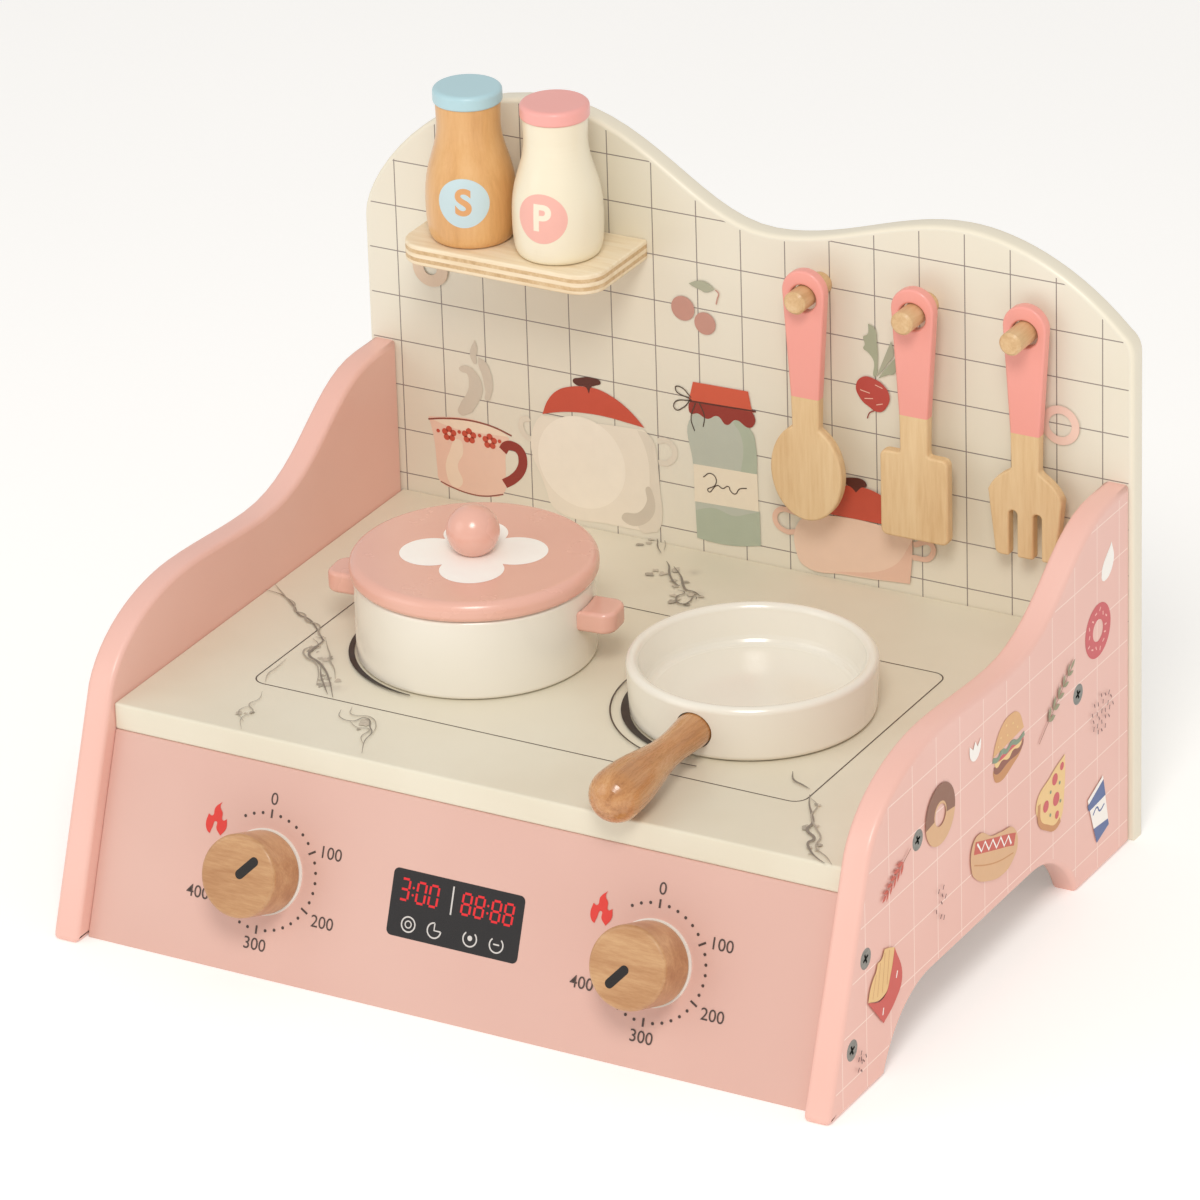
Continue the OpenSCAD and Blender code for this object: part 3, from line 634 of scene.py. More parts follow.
def turned_pieces():
    """Turned and small pieces, whose shape is already the real one."""
    for nodes, finish in (
            ("pot_body pan_body", white_gloss),
            ("pot_lid lid_ball", salmon_gloss),
            ("pan_handle", handle_wood), ("left_knob right_knob", knob_wood),
            ("salt_shaker", jar_wood), ("pepper_shaker", ivory_paint), ("salt_cap", blue_paint),
            ("pepper_cap", rose_paint), ("spoon_peg spatula_peg fork_peg", peg_wood),
            ("pot_dowels", dowel_wood),
            ("left_knob_washer right_knob_washer left_inner_washer right_inner_washer", matte_white),
            ("left_knob_screw right_knob_screw side_screws back_screws shelf_screws", zinc_steel)):
        for node in nodes.split():
            finished(node, finish)


# ------------------------------ pictures

# A picture is a row of shapes, each begun by its kind and its ink.  After them come a fill's outline,
# a line's width and path, a ring's width, centre, radius and arc, the radius of discs or the size of
# flowers and their places, or how many dashes go round at what radius and their length.  A place is
# x,y in millimetres, and a c after it makes it a corner.
KINDS = ("fill", "line", "ring", "disc", "flower", "dashes")
PICTURES = {
    "cup": """
      fill beige_pink -20.9,17.2c -19.1,10.3 -18,2.1 -17.5,-6.3 -16.3,-12.8 -6.6,-15.4 6.4,-15.7
        15.4,-12.8 17,-2.4 17.3,6.1 19.4,14.3c 5,19.5
      fill beige -20.4,16.4c -9,13.9 6,14.1 19,14.9c 12,18.2 4,19 -8,18.6
      fill beige -9,-14.4 -13,-8 -11,2 -6,9 -4,4 -7,-4 -5,-12
      line cup_line .8 -21,15.8 -13.5,17.5 -4,18.8 5.5,18.9 12.5,18 20.6,15.7
      line cup_line .6 -16,-13 -9.5,-14.9 -1.3,-16.1 6.4,-15.7 15.4,-13.1
      line dark_red 4.4 15.9,7.8 18,10.5 21.6,10.9 24.7,9 25.8,5 24.7,.3 21,-4.4 16.2,-7.8
      flower red 4 -10.7,10.8 -.7,11.6 9.6,11
      disc red .9 -16.2,11.2 -5.6,12.6 4.6,12.8 14.5,12""",
    "steam": """
      fill steam -4.4,42.7 -2.9,44.4 .6,44.8 4.1,42.6 6.8,37.6 6.6,32.5 4,27.6 .3,22.7 -5.3,21.6
        -4.2,26.6 -1.1,31.6 .3,36.9 -.7,41.2 -3,41.6
      fill steam 4.1,57.9c 5.1,53.9 4.4,50.4 3.9,46.5 2,48.3 1.5,52.1
      fill steam 5.5,50.1c 9,48.5 11.2,44.5 12.2,39.7 11.7,34.6 8.8,30.2 8.4,34.6 7,42.1 5.4,46.8""",
    "big_pot": """
      line pot_grey 2.6 31.8,17.3 36.6,18.2 40.2,13.8 36.9,8.1 32.1,7.2
      line pot_grey 2.6 -31,15.9 -35,14 -34,8 -30,6
      fill pot_pale -25,18.6c -27.8,15 -30.2,8.4 -30.5,.1 -26.5,-9.4 -23.6,-17 -21.6,-22.8 -16.4,-26.4
        -9.5,-27.6 5,-26.8 21,-26.7 30.6,-25.8c 32.6,-22 32.3,-3 31.6,7.1 30.2,16 25.6,21.2c
      fill pot_grey 22,20.5c 27,19.8 30.2,16 31.6,7.1 32.3,-3 32.6,-22 30.6,-25.8c 22,-26.6 26,-14
        27.5,0 26,12
      disc pot_disc 21.5 -5.8,0
      fill steam 26.4,-5.1 28.5,-6.8 27,-20.9 13.7,-23.5 13.8,-20.7 21.3,-18.4 25.7,-12.4
      fill red -24.5,19.2c -21.5,26.4 -16.5,31.9 -9.4,35 -4.6,35.9 2.8,36.1 10.2,33.9 16.4,30.5
        21,26.9 25.6,22.3c 17.2,23.1 6.7,23.9 -4,23.6 -12,22.6 -18.5,21.1
      fill brown -8.9,37.9 -5.5,39.8 .9,40.9 4.8,39.5 1.8,37.4 .2,36.6 -1.1,33.2c -2.5,35.8 -7.3,36.2""",
    "jar": """
      fill label -15.3,-1c 15.4,-.6c 15.8,-19c -15.2,-19.6c
      fill glass -15.3,20.2 -15.6,-1.9c 15.4,-.9c 15.1,11.4 13,18.9 6.4,22.1
      fill glass_green 5,21.8 13,18.9 15.1,11.4 15.4,-.9c 7.5,-1.2c 9,10 7.5,17
      fill glass_green -14.9,-19.4c 16.2,-18.3c 16.4,-34.2c 4.4,-36.6 -6.8,-37.1 -14.4,-36.4c
      fill glass -14.9,-19.4c 16.2,-18.3c 10,-20.6 4,-22.6 -6,-20.8 -14.8,-23.4c
      fill dark_red -16,26.8 -17,23.3 -16.1,21.5 -12.9,22.1 -8.3,20.4 -3,22.6 1.1,19.4 5.8,22.5
        12.1,20.1 14.8,22.6 14.9,25.4 13.5,28c
      fill cloth_red -14.6,36.4c 11.9,36.9c 13.4,29c 15,27.7c -16.9,27.2c
      line brown .8 -16.9,27.2 15.5,28.3
      line line_dark .5 -15.4,27.8 -23.2,32.2 -20.8,32.9 -15.6,28.9
      line line_dark .5 -16,27.7 -23.9,24.8 -23.4,22 -19.9,23.3 -16,27.7
      line line_dark .5 -13.6,26.7 -15.9,19 -14.3,13.6
      line line_dark .5 -11.9,27.6 -9.4,21.3 -10.1,16.4
      line line_dark .45 -10.7,-7.2 -7.1,-4.8 -4.6,-6.5 -4.9,-9.7 -8.5,-13.3 -3.8,-9.8 -1.4,-10.7
        1.5,-9.3 2.4,-11.1 4.4,-12.2 6.8,-9.4 10.3,-8.4""",
    "cherries": """
      disc cherry 5.6 -6,.6
      disc cherry 5.1 4.5,-4.5
      fill leaf_grey -2.9,12.6c 2.2,14.8 6.1,14.4 9.7,12c 5,9.9 2.8,10.6 -.4,11.5
      line cherry .6 9.9,11.9 11.3,10.6 10.7,7.9 10.1,5.3""",
    "radish": """
      fill leaf .2,8 0,15.2 -3,19 -4.8,20.1 -4.1,22.1 -4.7,25.6 -2.9,26.7 -2.4,31.8c .6,30.2 1.6,24.2
        1.8,14.1 1,8.5
      fill leaf_grey 1.4,8.6c 4.9,17.6 8.3,25.8c 9.4,19.9 6.3,14.9 3.3,10.7
      fill leaf 2.1,7.6c 5.5,11.9 9.7,14.9 9.6,11.2 6.2,10.2
      fill leaf 2.2,8c 8,16 14,22c 13,16 8,11
      line dark_red .5 0,-7.4 -2.3,-8.9 -3.4,-11.6
      fill radish -8.5,2.7 -5,7.2 .6,7 4.7,4.8 7.2,.6 6,-4.4 2.2,-7.7 -2.6,-6 -6.7,-2.8
      line beige_pink .35 -6.5,1 -2,.2
      line beige_pink .35 -4.5,-2.6 -.5,-2
      line beige_pink .35 .5,4.5 4,3.5
      line beige_pink .35 1,-4.6 4,-3.6""",
    "rose_pot": """
      line pot_rose_deep 2.4 -27,10 -36,9.5 -37.5,4 -33,.5 -27.5,1
      line pot_rose_deep 2.4 28.2,6.2 36.5,8 36,1.8 27.5,.2
      fill pot_rose -26.4,6 -27.3,-9.8 -24.1,-14 -4.8,-14.4 26.3,-12.4c 27.6,2.3 27.7,10.9c -4.4,12.5
        -19.2,10.1
      fill pot_rose_deep -10,-14.2c 26.3,-12.4c 27.6,2.3 27.7,8c 18,-6
      fill red -22,12.5c -17,20 -9,25.5 1,28 11.4,26.8 19,22 25,13c
      fill brown -4,30.5 -3.3,31.1 6.5,29.8 3.5,27.6 1.3,25.1c -.9,27.1 -3.3,28.2""",
    "faint_ring": """
      ring ring_pink 3.6 0,0 7""",
    "faint_donut": """
      ring faint_brown 5.4 0,0 6""",
    # Those of the side panels.
    "drop": """
      fill white 3.4,8.6c -6.3,-3.6 -3.3,-6.6 5.2,-.9""",
    "red_donut": """
      ring berry 7.2 0,0 8.4
      dashes sprinkle 14 8.4 1.8""",
    "choc_donut": """
      ring tan 8.2 0,-.6 8.9
      ring choc 7.6 0,0 9.2 -12 192""",
    "burger": """
      fill bun_dark -14,-8 -11.2,-12.4 5,-10.5 12.2,-6.8 13.5,-4c -14,-6c
      fill patty -13.6,-4.6c -13,-7.6 0,-7.8 13,-6 13.8,-3c 0,-4.6
      fill cheese -13.4,-2.6c 13.4,-2.6c 10,-5.4 4,-4.4 0,-6.4 -6,-4.6 -11,-5.8
      line berry 1.6 -13.4,-2 -6,-3.2 2,-2.6 13.6,-2.8
      line green 2.2 -14.6,-1 -10,-2.4 -6,-.6 -2,-2.2 3,-.6 8,-2.4 14.4,-1.2
      fill bun -14.5,0c -12,5.4 -6,11 1,12.7 9,10.6 14,1.6c
      disc cheese .55 -7,6 -2,9.4 -1,4.6 4,7.8 8,4.4 -9.6,3""",
    "tulip": """
      fill white -5,4c -4.6,-1 -1.5,-4 1.5,-4 4.6,-1 5.4,4c 2.2,1.2c .2,4.2c -1.8,1.2c""",
    "pizza": """
      fill cheese 11.7,15.5c -2,11.2 -15.2,4.3 -11.7,-5.5 .2,-13.3 6.2,-13.7 11,-.6
      fill cheese 11.7,15.5c -2,11.2 -13.6,3 -9.4,-4.6 1.6,-10.8 6.2,-11 9.6,-.6
      line bun_dark 2.6 -12.6,3 -12.4,-5 -5,-11 2.4,-14 7,-12.6
      disc berry 1.8 8.7,11.2
      disc berry 2.6 2.1,8.1
      disc berry 3 3.2,-1.5
      disc berry 2.6 -6.4,-.6
      disc berry 1.8 3.8,-9
      disc green .8 -2,4 6.4,4.6 -2.4,-6.4 7,-4""",
    "carton": """
      fill white -10.3,9.1c 4.4,14.4c 9.9,-10.8c -1.8,-14.4c
      fill blue -10.3,6.5c 4.8,12.5c 6.8,4.3c -9,3.5c
      fill blue -4.8,-6.5c 9,-7.8c 9.9,-10.8c -1.8,-14.4c
      line blue .8 -5.4,.2 -1.6,2.2 1.2,-.6 5.6,.8""",
    "hot_dog": """
      fill tan -19.4,11.1 -13.6,13 -2.2,7 6,5 17.6,1.5 21,-7.7 16,-13 9.2,-15 -8.2,-11 -17,-6 -20.8,-1
      line bun_dark .6 -18.6,1 -8,-3.6 4,-7.4 17,-9.6
      line sausage 5.4 -18,8.4 -8,5 4,1 12,-1.6 18.4,-4
      line white 1.1 -15.6,9.4c -12,4.4c -8.6,7.4c -5.4,2.2c -1.6,5c 1.6,-.2c 5.6,2.8c 8.6,-2.6c
        12.6,.2c 15,-4.6c""",
    "fries": """
      fill fries -13.6,-1.3c -11.6,4 -8.6,7.6c -6.6,9 -5,12.4c -1.4,12.6 1,15.8c 4.6,14.8 9.7,12.6c
        7.4,3 4,-2.6 -2,-4.6
      line bun_dark .35 -9.6,-1.6 -6.4,8
      line bun_dark .35 -5.6,-2.4 -2.6,11.4
      line bun_dark .35 -1.6,-2.6 1.4,14
      line bun_dark .35 2.6,-.6 5.2,13.6
      fill fries_red 9.7,12.6c 15.7,-4.1 9.8,-11.2 -.8,-16.5c -14,-1.3c .3,-5 6.2,3
      line white .8 10.6,-1.6 11.8,1.2
      line white .8 -1.4,-12.6 -.6,-9.6""",
}
THIN_MM = 0.7                  # stems, and the small dashes strewn over the panels


def leaf(sheet, colour, x, y, length, turn):
    half, plump = length / 2, length * 0.17
    sheet.fill(colour, f"0,0c {half},{plump} {length},0c {half},{-plump}", (x, y), radians(turn))


def sprig(sheet, colour, x0, y0, x1, y1, pairs, length):
    """A stem with leaves in pairs along it and one at its tip."""
    along = degrees(atan2(y1 - y0, x1 - x0))
    sheet.line("stem_brown", THIN_MM, [(x0, y0, False), (x1, y1, False)])
    for place in range(pairs):
        share = 0.3 + 0.62 * place / max(1, pairs - 1)
        at = (x0 + (x1 - x0) * share, y0 + (y1 - y0) * share)
        for lean in (-34, 34):
            leaf(sheet, colour, *at, length * (1.05 - 0.3 * share), along + lean)
    leaf(sheet, colour, x1, y1, length * 0.8, along)


def scatter(sheet, colour, x, y, count, width, height, seed):
    """A patch of short dashes that lean every way."""
    for dx, dy, turn in strewn(count, width, height, seed):
        sheet.stroke(colour, THIN_MM, 2.0, x + dx, y + dy, turn)


def flower(sheet, colour, x, y, size):
    """Five round petals about a pale heart."""
    for petal in range(5):
        turn = radians(90 + 72 * petal)
        sheet.disc(colour, x + 0.55 * size * cos(turn), y + 0.55 * size * sin(turn), 0.38 * size,
                   same=petal > 0)
    sheet.disc("beige_pink", x, y, 0.22 * size)


def dashes(sheet, colour, x, y, count, radius, length):
    """Sprinkles round a ring, each a little further in or out and leaning its own way."""
    sheet.layer += 1
    for place in range(count):
        turn = 2 * pi * place / count
        out = radius * (0.86 + 0.28 * (place * 0.618 % 1))
        sheet.stroke(colour, THIN_MM, length, x + out * cos(turn), y + out * sin(turn), place * 2.399)


def shapes(text):
    """A picture's words, parted where a new shape begins."""
    found = []
    for word in text.split():
        if word in KINDS:
            found.append([])
        found[-1].append(word)
    return found


def draw(sheet, picture, x, y):
    for kind, colour, *words in shapes(PICTURES[picture]):
        if kind == "fill":
            sheet.fill(colour, " ".join(words), (x, y))
        elif kind == "line":
            sheet.line(colour, float(words[0]), " ".join(words[1:]), (x, y))
        elif kind == "ring":
            dx, dy, _ = points(words[1])[0]
            sheet.ring(colour, float(words[0]), x + dx, y + dy, *map(float, words[2:]))
        elif kind == "dashes":
            dashes(sheet, colour, x, y, int(words[0]), float(words[1]), float(words[2]))
        else:
            for dx, dy, _ in points(" ".join(words[1:])):
                if kind == "disc":
                    sheet.disc(colour, x + dx, y + dy, float(words[0]))
                else:
                    flower(sheet, colour, x + dx, y + dy, float(words[0]))


def rounded_box(x0, y0, x1, y1, radius):
    """A box's outline with round corners, as corner points."""
    listed, steps = [], 6
    for cx, cy, start in ((x1 - radius, y1 - radius, 0), (x0 + radius, y1 - radius, 90),
                          (x0 + radius, y0 + radius, 180), (x1 - radius, y0 + radius, 270)):
        for step in range(steps + 1):
            turn = radians(start + 90 * step / steps)
            listed.append((cx + radius * cos(turn), cy + radius * sin(turn), True))
    return listed


def board_pictures():
    sheet = Print("board_pictures", "cabinet", "cream_print", Vector((0, FACE_Y, 0)), X_AXIS, Z_AXIS)
    for picture, x, y in (("cup", -134, 115), ("steam", -134, 115), ("big_pot", -73, 125),
                          ("jar", -8.5, 137), ("cherries", -21, 206), ("radish", 63.5, 184),
                          ("rose_pot", 53, 112), ("faint_ring", 150, 186.5),
                          ("faint_donut", -150.5, 203)):
        draw(sheet, picture, x, y)
    sheet.done()


def side_pictures(side):
    """The same snacks on both sides: they keep their places from front to back."""
    sign = 1 if side == "right" else -1
    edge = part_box(side + "_side_panel")[1 if sign > 0 else 0].x
    sheet = Print(side + "_side_pictures", "cabinet", "pink_paint", Vector((edge, FACE_Y, 0)),
                  Y_AXIS * sign, Z_AXIS)
    for picture, x, y in (("drop", -21, 138.5), ("red_donut", -30.7, 112), ("burger", -114, 97),
                          ("tulip", -144.4, 107.6), ("pizza", -74, 54), ("carton", -31, 29),
                          ("choc_donut", -176, 94), ("hot_dog", -128, 56), ("fries", -227, 41)):
        draw(sheet, picture, sign * x, y)
    for colour, x0, y0, x1, y1, pairs, length in (("olive", -87, 85, -58, 106, 5, 7),
                                                  ("red", -202.7, 90.9, -224, 80.4, 5, 6)):
        sprig(sheet, colour, sign * x0, y0, sign * x1, y1, pairs, length)
    for x, y, count, width, height, seed in ((-28, 74, 24, 20, 18, 3), (-177, 53, 8, 9, 18, 5),
                                             (-247, 17, 8, 8, 10, 8)):
        sheet.layer += 1
        scatter(sheet, "dash_brown", sign * x, y, count, width, height, seed)
    sheet.done()


SEGMENTS = {"0": "abcdef", "3": "abcdg", "8": "abcdefg"}
DIGIT_H, DIGIT_W, SEGMENT_W = 8.6, 3.8, 0.95


def lit_digit(sheet, figure, x, y):
    """A seven-segment figure, leaning a little as display figures do."""
    w, h, gap, slant = DIGIT_W / 2, DIGIT_H / 2, 0.45, 0.05
    ends = {"a": (-w, h, w, h), "b": (w, h, w, 0), "c": (w, 0, w, -h), "d": (-w, -h, w, -h),
            "e": (-w, 0, -w, -h), "f": (-w, h, -w, 0), "g": (-w, 0, w, 0)}
    for segment in SEGMENTS[figure]:
        x0, y0, x1, y1 = ends[segment]
        dx, dy = (gap, 0) if y0 == y1 else (0, -gap)
        listed = [(px + slant * py, py, True) for px, py in ((x0 + dx, y0 + dy), (x1 - dx, y1 - dy))]
        sheet.line("digit_red", SEGMENT_W, listed, (x, y), same=True)


def display(sheet):
    """Oven clock: figures, a divider and four round touch marks."""
    middle, half_wide, half_high = -43.6, 30.6, 14
    top = middle + half_high
    sheet.fill("display", rounded_box(-half_wide, middle - half_high, half_wide, top, 2.4))
    sheet.layer += 1
    for figure, x, drop in (("3", -24.6, 8.3), ("0", -16.9, 8.5), ("0", -11.1, 8.5), ("8", 4.3, 8.6),
                            ("8", 10.3, 8.6), ("8", 18.0, 8.8), ("8", 23.9, 8.8)):
        lit_digit(sheet, figure, x, top - drop)
    for x, drop in ((-20.7, 7.0), (-20.7, 10.0), (14.2, 7.2), (14.2, 10.2)):
        sheet.disc("digit_red", x, top - drop, 0.5, same=True)
    sheet.line("icon_white", 0.7, [(-2.4, top - 2.6, True), (-2.4, top - 14.3, True)], same=True)
    row, mark_r, stroke = top - 22.2, 3.1, 0.6
    sheet.ring("icon_white", stroke, -20.9, row, mark_r, same=True)
    sheet.ring("icon_white", 0.5, -20.9, row, 1.4, same=True)
    sheet.ring("icon_white", stroke, -8.8, row, mark_r, 90, 360, same=True)
    sheet.line("icon_white", stroke, "-8.8,3c -8.8,0c -5.8,0c", (0, row), same=True)
    for x in (7.9, 20.2):
        sheet.ring("icon_white", stroke, x, row, mark_r, 130, 410, same=True)
    sheet.disc("icon_white", 7.9, row + 0.3, 1.1, same=True)
    sheet.line("icon_white", stroke, [(18.8, row + 0.2, True), (21.6, row + 0.2, True)], same=True)


DIAL_R_MM = 24.3
FLAME = ("1.5,7c -1.5,4 -2.4,.5 -4.2,1c -5,-3 -4,-6 -2.6,-7c -1.8,-4.5 -.3,-1.5 .3,-4.5 2.5,-7c 4.8,-3.5 "
         "4.6,.3c 2.8,-.5 2.2,2.5 .8,5")


def dial(sheet, x):
    """Heat scale round a knob: a tick every 60 degrees with its number, and dots between."""
    y = -DIAL_DROP_MM
    sheet.layer += 1
    for clockwise in range(-30, 250, 10):
        turn = radians(90 - clockwise)
        at = (x + DIAL_R_MM * cos(turn), y + DIAL_R_MM * sin(turn))
        if clockwise >= 0 and clockwise % 60 == 0:
            sheet.stroke("dial_ink", 0.9, 3.6, *at, turn)
        else:
            sheet.disc("dial_ink", *at, 0.68, same=True)
    for text, dx, rise in (("0", .4, 30.3), ("100", 29.7, 13.3), ("200", 30, -15.5), ("300", 0, -30.6),
                           ("400", -29.7, -14.7)):
        sheet.word("dial_ink", text, 5.3, x + dx, y + rise, 0.012)
    sheet.fill("flame", FLAME, (x - 25.2, y + 17.5))


def front_prints():
    """The clock and both heat scales, measured down the panel from its top edge."""
    knob_at = Vector(JOINTS["left_knob_turn"]["pos_m"])
    top = Vector((0, knob_at.y, knob_at.z)) + UP_SLOPE * (DIAL_DROP_MM * MM)
    sheet = Print("front_panel_print", "cabinet", "pink_paint", top, X_AXIS, UP_SLOPE)
    display(sheet)
    for name in ("left_knob_turn", "right_knob_turn"):
        dial(sheet, JOINTS[name]["pos_m"][0] / MM)
    sheet.done()


def knob_pointer(side, clockwise):
    """The black mark let into a knob's face, turned so many degrees from straight up."""
    node = side + "_knob"
    at = Vector(JOINTS[node + "_turn"]["pos_m"])
    reach = max((v.co - at).dot(SLOPE) for v in frame["nodes"][node].data.vertices)
    sheet = Print(node + "_pointer", node, "knob_wood", at + SLOPE * reach, X_AXIS, UP_SLOPE)
    sheet.fill("pointer", rounded_box(-2, -0.6, 2, 12, 1.95), turn=-radians(clockwise))
    sheet.done()


# The grey veins printed across the worktop, drawn from the middle of the board's face.
VEINS = """
    line vein_dark .9 -168.9,-116.4 -159.7,-117.9 -150.2,-124.6 -142.8,-131.7 -137.5,-133.3 -131.5,-138
      -122.8,-146.7 -120.2,-148.9
    line vein .7 -168.2,-110 -159.5,-117.2 -146.2,-128.6
    line vein .9 -158,-119 -151,-122.4 -146.6,-129 -141.6,-130 -137,-135.4 -130.6,-136.4 -126,-144
      -121,-146.4
    line vein_dark 1.1 -125.7,-147.1 -122.1,-147.5 -120.7,-156.1 -119.7,-162.5 -111.5,-167.8
      -104.8,-173.7 -98.6,-181 -89.5,-193.6
    line vein_dark .8 -109.8,-169.3 -104.5,-178.1 -97.8,-186.3 -93.1,-191.9
    line vein .8 -120.3,-147.8 -115.2,-154.6 -111.2,-159.6 -109.3,-163.1 -103,-170 -97.5,-178.2
    line vein .8 -125.9,-149 -121,-153.4 -123.6,-159.6 -118.6,-166 -113,-168.6 -107,-176 -101.6,-186.6
    line vein .5 -125.9,-170.1 -125.2,-180.1 -125.3,-185.9 -122.3,-193.5
    line vein_dark .6 -80.5,-202.1 -77.6,-208 -70.7,-209.1 -67.6,-204.4 -61.2,-211.2 -58.5,-214.5
      -57.1,-222.4 -52.3,-232.9
    line vein .6 -77.7,-197.9 -74.5,-203.9 -66.1,-202.8 -60,-208.6 -57.4,-216
    line vein .6 -72,-209.6 -66,-213.4 -61,-212.6 -60.2,-220 -55.6,-226
    line vein .5 -118.7,-201.6 -116.2,-208.5 -117.4,-214 -112.4,-219.5 -113.6,-226 -108.1,-235.6
    line vein .5 -115,-213 -118,-221 -111,-229
    line vein_dark 1 113.1,-171.5 117,-177.9 122.1,-180.3 126.5,-182.3
    line vein_dark 1.3 128.9,-186.9 132.8,-194.7 136.9,-200.8 141.4,-208.3 142.1,-214.3 148.5,-220.8
      147.7,-223.6 151.5,-229.7 156.7,-234.3 161.9,-237.3
    line vein .8 130,-189 136,-194 138,-203 145,-212 150,-218 152,-226 160.5,-232.5 165.2,-237.3
    line vein_dark .7 -44.2,2.2 -41,-3 -39.1,-6.4 -34.2,-12.1
    line vein .5 -41.6,3.5 -36.5,-4.2 -34.5,-9.2
    line vein_dark 1 -28.3,-18.2 -25,-22 -21.7,-27.9 -14.1,-36.2 -11.2,-37.7
    line vein_dark 1.2 -22.9,-21.6 -15.5,-28.9 -9.8,-37 -7.1,-39.6 -3.5,-39.9 1.3,-42.5
    line vein_dark .9 -10.5,-41.3 -6.5,-42.3 -7.5,-47.6 -1.7,-52.7 -.3,-49.1 -.3,-44.2 1.3,-46.4"""
# Smudges along the veins: x, y, how wide, how many patches.
SMUDGES = [(-120, -155, 7, 5), (-113, -165, 7, 5), (-100, -180, 9, 6), (-68, -208, 10, 5),
           (-115, -222, 7, 3), (-46, -5, 8, 4), (-25, -28, 9, 5), (-14, -35, 7, 4), (-4, -46, 11, 6),
           (141, -210, 7, 3), (152, -228, 8, 4), (134, -196, 6, 3)]


def pot_or_pan_middle(node):
    """The middle under a pot or pan: where the pan's burner ring is printed, and where the painted
    shadows at their feet are centred.
    """
    centre = sum(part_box(node), Vector()) / 2
    return centre.x / MM, (centre.y - FACE_Y) / MM


def worktop_print():
    """The hob's outline, smudged veins, and the pan's burner ring, partly hidden by the pot and the pan,
    with painted contact shadows at the feet of the pot and the pan.
    """
    top = Vector((0, FACE_Y, WORKTOP_Z))
    sheet = Print("worktop_print", "cabinet", "worktop_print", top, X_AXIS, Y_AXIS)
    sheet.line("line_dark", 0.6, rounded_box(-129, -194, 129, -64, 6), closed=True)
    draws = Random(11)
    for x, y, wide, count in SMUDGES:
        for patch in range(count):
            at = (x + draws.uniform(-0.5, 0.5) * wide, y + draws.uniform(-0.6, 0.6) * wide)
            size = wide * draws.uniform(0.1, 0.26)
            outline = [(size * draws.uniform(0.4, 1.3) * cos(radians(40 * i)),
                        size * draws.uniform(0.4, 1.3) * sin(radians(40 * i)), False) for i in range(9)]
            sheet.fill(("vein_soft", "vein_soft", "vein")[patch % 3], outline, at)
    for _, colour, width, *path in shapes(VEINS):
        sheet.line(colour, float(width), " ".join(path), taper=True)
    # Painted contact shadows: near-black arcs that thin out at their ends, hugging the left and front of
    # the pan's and the pot's feet, where the light from the right casts shade.
    for node, width, start in (("pan_body", 3.6, 150), ("pot_body", 2.6, 168)):
        x, y = pot_or_pan_middle(node)
        sheet.ring("foot_shadow", width, x, y, 52.6, start, 268, taper=True)
    x, y = pot_or_pan_middle("pan_body")
    sheet.ring("line_dark", 0.7, x, y, 58.8, 120, 275)
    sheet.done()


def jar_mark(letter, jar, azimuth, disc_ink, letter_ink, slot):
    """A round mark with its letter, laid on the jar's curved side."""
    node = jar + "_shaker"
    low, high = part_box(node)
    turn = radians(azimuth)
    out = Vector((sin(turn), -cos(turn), 0))
    across = Vector((cos(turn), sin(turn), 0))
    away, rise_mm, radius_mm = 0.03, 21.5, 10.8
    middle = Vector(((low.x + high.x) / 2, (low.y + high.y) / 2, low.z + rise_mm * MM))
    sheet = Print(node + "_mark", jar, slot, middle + out * away, across, Z_AXIS)
    sheet.SKIN_MM, sheet.STEP_MM = 0.03, 0.035
    sheet.disc(disc_ink, 0, 0, radius_mm)
    sheet.word(letter_ink, letter, 11.6, 0, 0, 0.5)
    for axis in (across, Z_AXIS):
        for step in range(-10, 11):
            parts = sheet.shape.verts[:] + sheet.shape.edges[:] + sheet.shape.faces[:]
            at = axis * (middle.dot(axis) + step * MM)
            bmesh.ops.bisect_plane(sheet.shape, geom=parts, plane_co=at, plane_no=axis, dist=1e-7)
    side = BVHTree.FromBMesh(merged(node))
    for vert in sheet.shape.verts:
        lift = (vert.co - middle).dot(out) - away
        hit, normal = side.ray_cast(vert.co, -out)[:2]
        vert.co = hit + normal * lift
    sheet.done()


def lid_flower():
    """Four round petals in white on the lid."""
    low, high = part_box("pot_lid")
    top = Vector(((low.x + high.x) / 2, (low.y + high.y) / 2, high.z))
    sheet = Print("lid_flower", "lid", "salmon_paint", top, X_AXIS, Y_AXIS)
    out, petal, first = 17.5, 13.5, 27
    listed = []
    for step in range(72):
        lean = radians((5 * step + 45) % 90 - 45)
        radius = out * cos(lean) + (petal ** 2 - (out * sin(lean)) ** 2) ** 0.5
        turn = radians(first + 5 * step)
        listed.append((radius * cos(turn), radius * sin(turn), abs(abs(degrees(lean)) - 45) < 1))
    sheet.fill("white", listed)
    sheet.done()


# ------------------------------ the camera and the light

CAMERA_PLACE = Vector((1.41705, FACE_Y - 2.59856, 1.47966))
YAW, PITCH, ROLL = radians(29.815), radians(25.350), radians(-1.810)
LENS_MM, SENSOR_MM = 229.515, 36


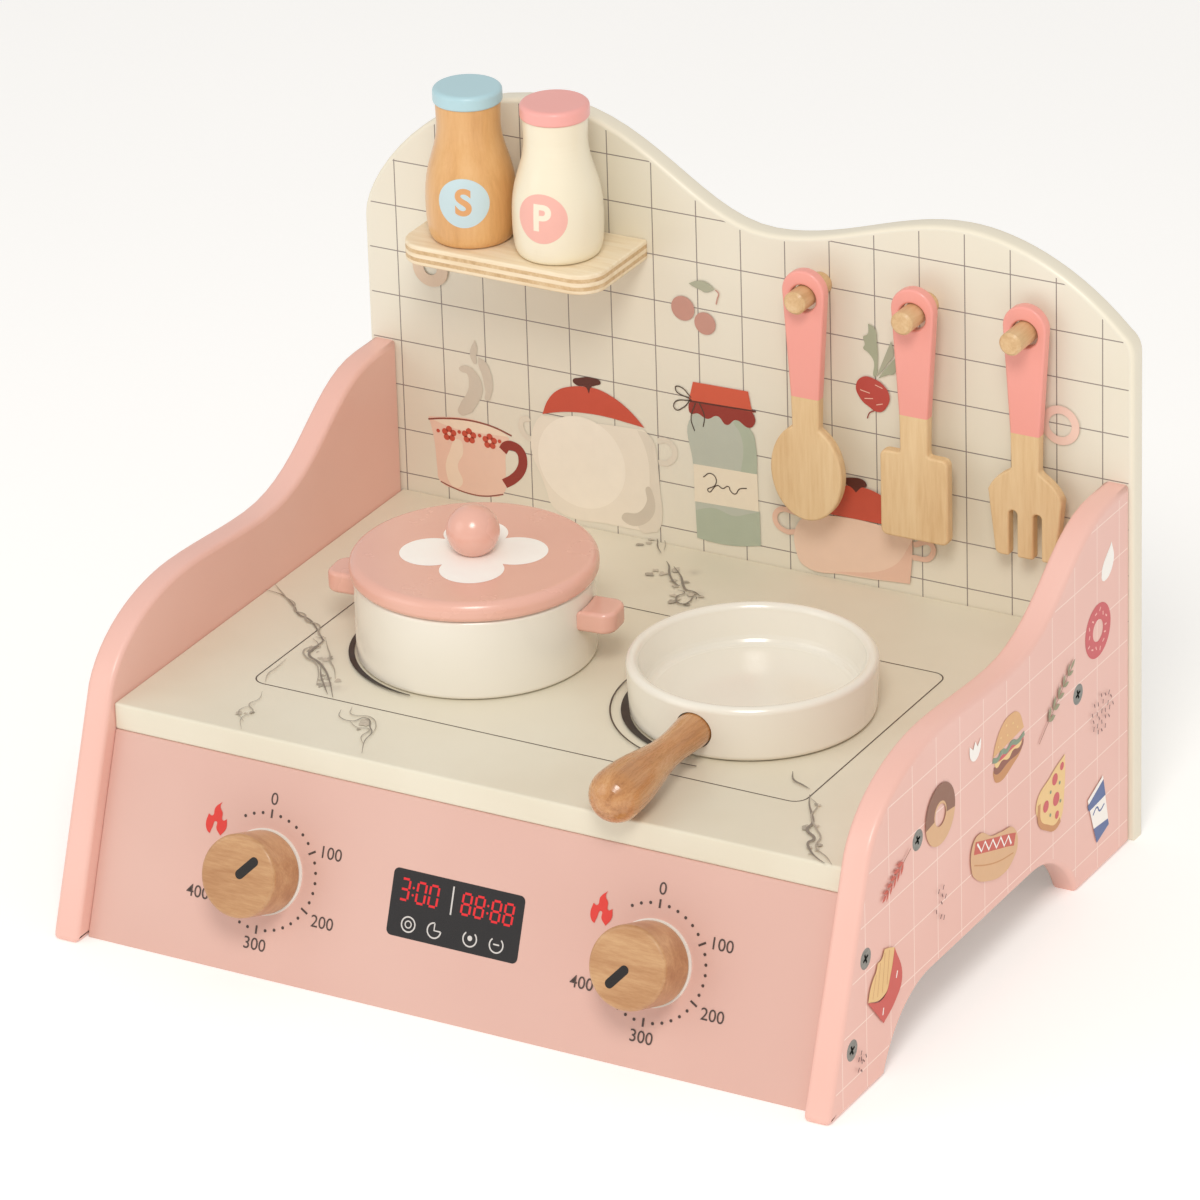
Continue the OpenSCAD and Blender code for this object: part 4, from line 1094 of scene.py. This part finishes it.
def camera():
    """A long lens, above and to the right of the front."""
    back = Vector((sin(YAW) * cos(PITCH), -cos(YAW) * cos(PITCH), sin(PITCH)))
    across = (-back).cross(Z_AXIS).normalized()
    over = across.cross(-back)
    right = cos(ROLL) * across + sin(ROLL) * over
    up = cos(ROLL) * over - sin(ROLL) * across
    lens = bpy.data.cameras.new("camera")
    lens.lens, lens.sensor_width, lens.clip_end = LENS_MM, SENSOR_MM, 50
    made = linked("camera", lens)
    made.matrix_world = Matrix.Translation(CAMERA_PLACE) @ Matrix((right, up, back)).transposed().to_4x4()
    bpy.context.scene.camera = made


def soft_light(name, place, size, power, colour):
    """A round light aimed at the worktop."""
    light = bpy.data.lights.new(name, "AREA")
    light.shape, light.size, light.energy, light.color = "DISK", size, power, colour
    made = linked(name, light)
    made.location = place
    made.rotation_euler = (Vector((0, 0, 0.1)) - Vector(place)).to_track_quat("-Z", "Y").to_euler()


def studio():
    """White paper under a pale sky, a key light from the right and a weak one from the left."""
    floor = bmesh.new()
    bmesh.ops.create_grid(floor, x_segments=1, y_segments=1, size=6)
    finish = Finish("floor_paper")
    paper = finish.surface(
        Base_Color=finish.blend(finish.noise(3, 2), "#fbfaf8", "#f8f7f5"), Roughness=0.9,
        Emission_Color=linear("#ffffff"), Emission_Strength=0.2)
    meshed("floor", floor, [paper])
    world = bpy.data.worlds.new("studio")
    world.use_nodes = True
    sky = world.node_tree.nodes["Background"]
    sky.inputs[0].default_value = (1.0, 0.985, 0.965, 1)
    sky.inputs[1].default_value = 0.62
    bpy.context.scene.world = world
    soft_light("key", (0.75, -1.5, 1.9), 0.8, 23.5, (1, 0.975, 0.94))
    soft_light("fill", (-1.4, -1.6, 1.1), 1.6, 6, (1, 0.98, 0.96))
    bpy.context.scene.view_settings.view_transform = "Standard"


back_board()
side_panel("left", -X_AXIS)
side_panel("right", X_AXIS)
plain_planks()
utensils()
pot_handles()
turned_pieces()
board_pictures()
side_pictures("left")
side_pictures("right")
front_prints()
knob_pointer("left", 43)
knob_pointer("right", 221)
worktop_print()
lid_flower()
jar_mark("S", "salt", 20, "jar_blue", "jar_tan", "blue_paint")
jar_mark("P", "pepper", 8, "jar_pink", "jar_cream", "rose_paint")
camera()
studio()
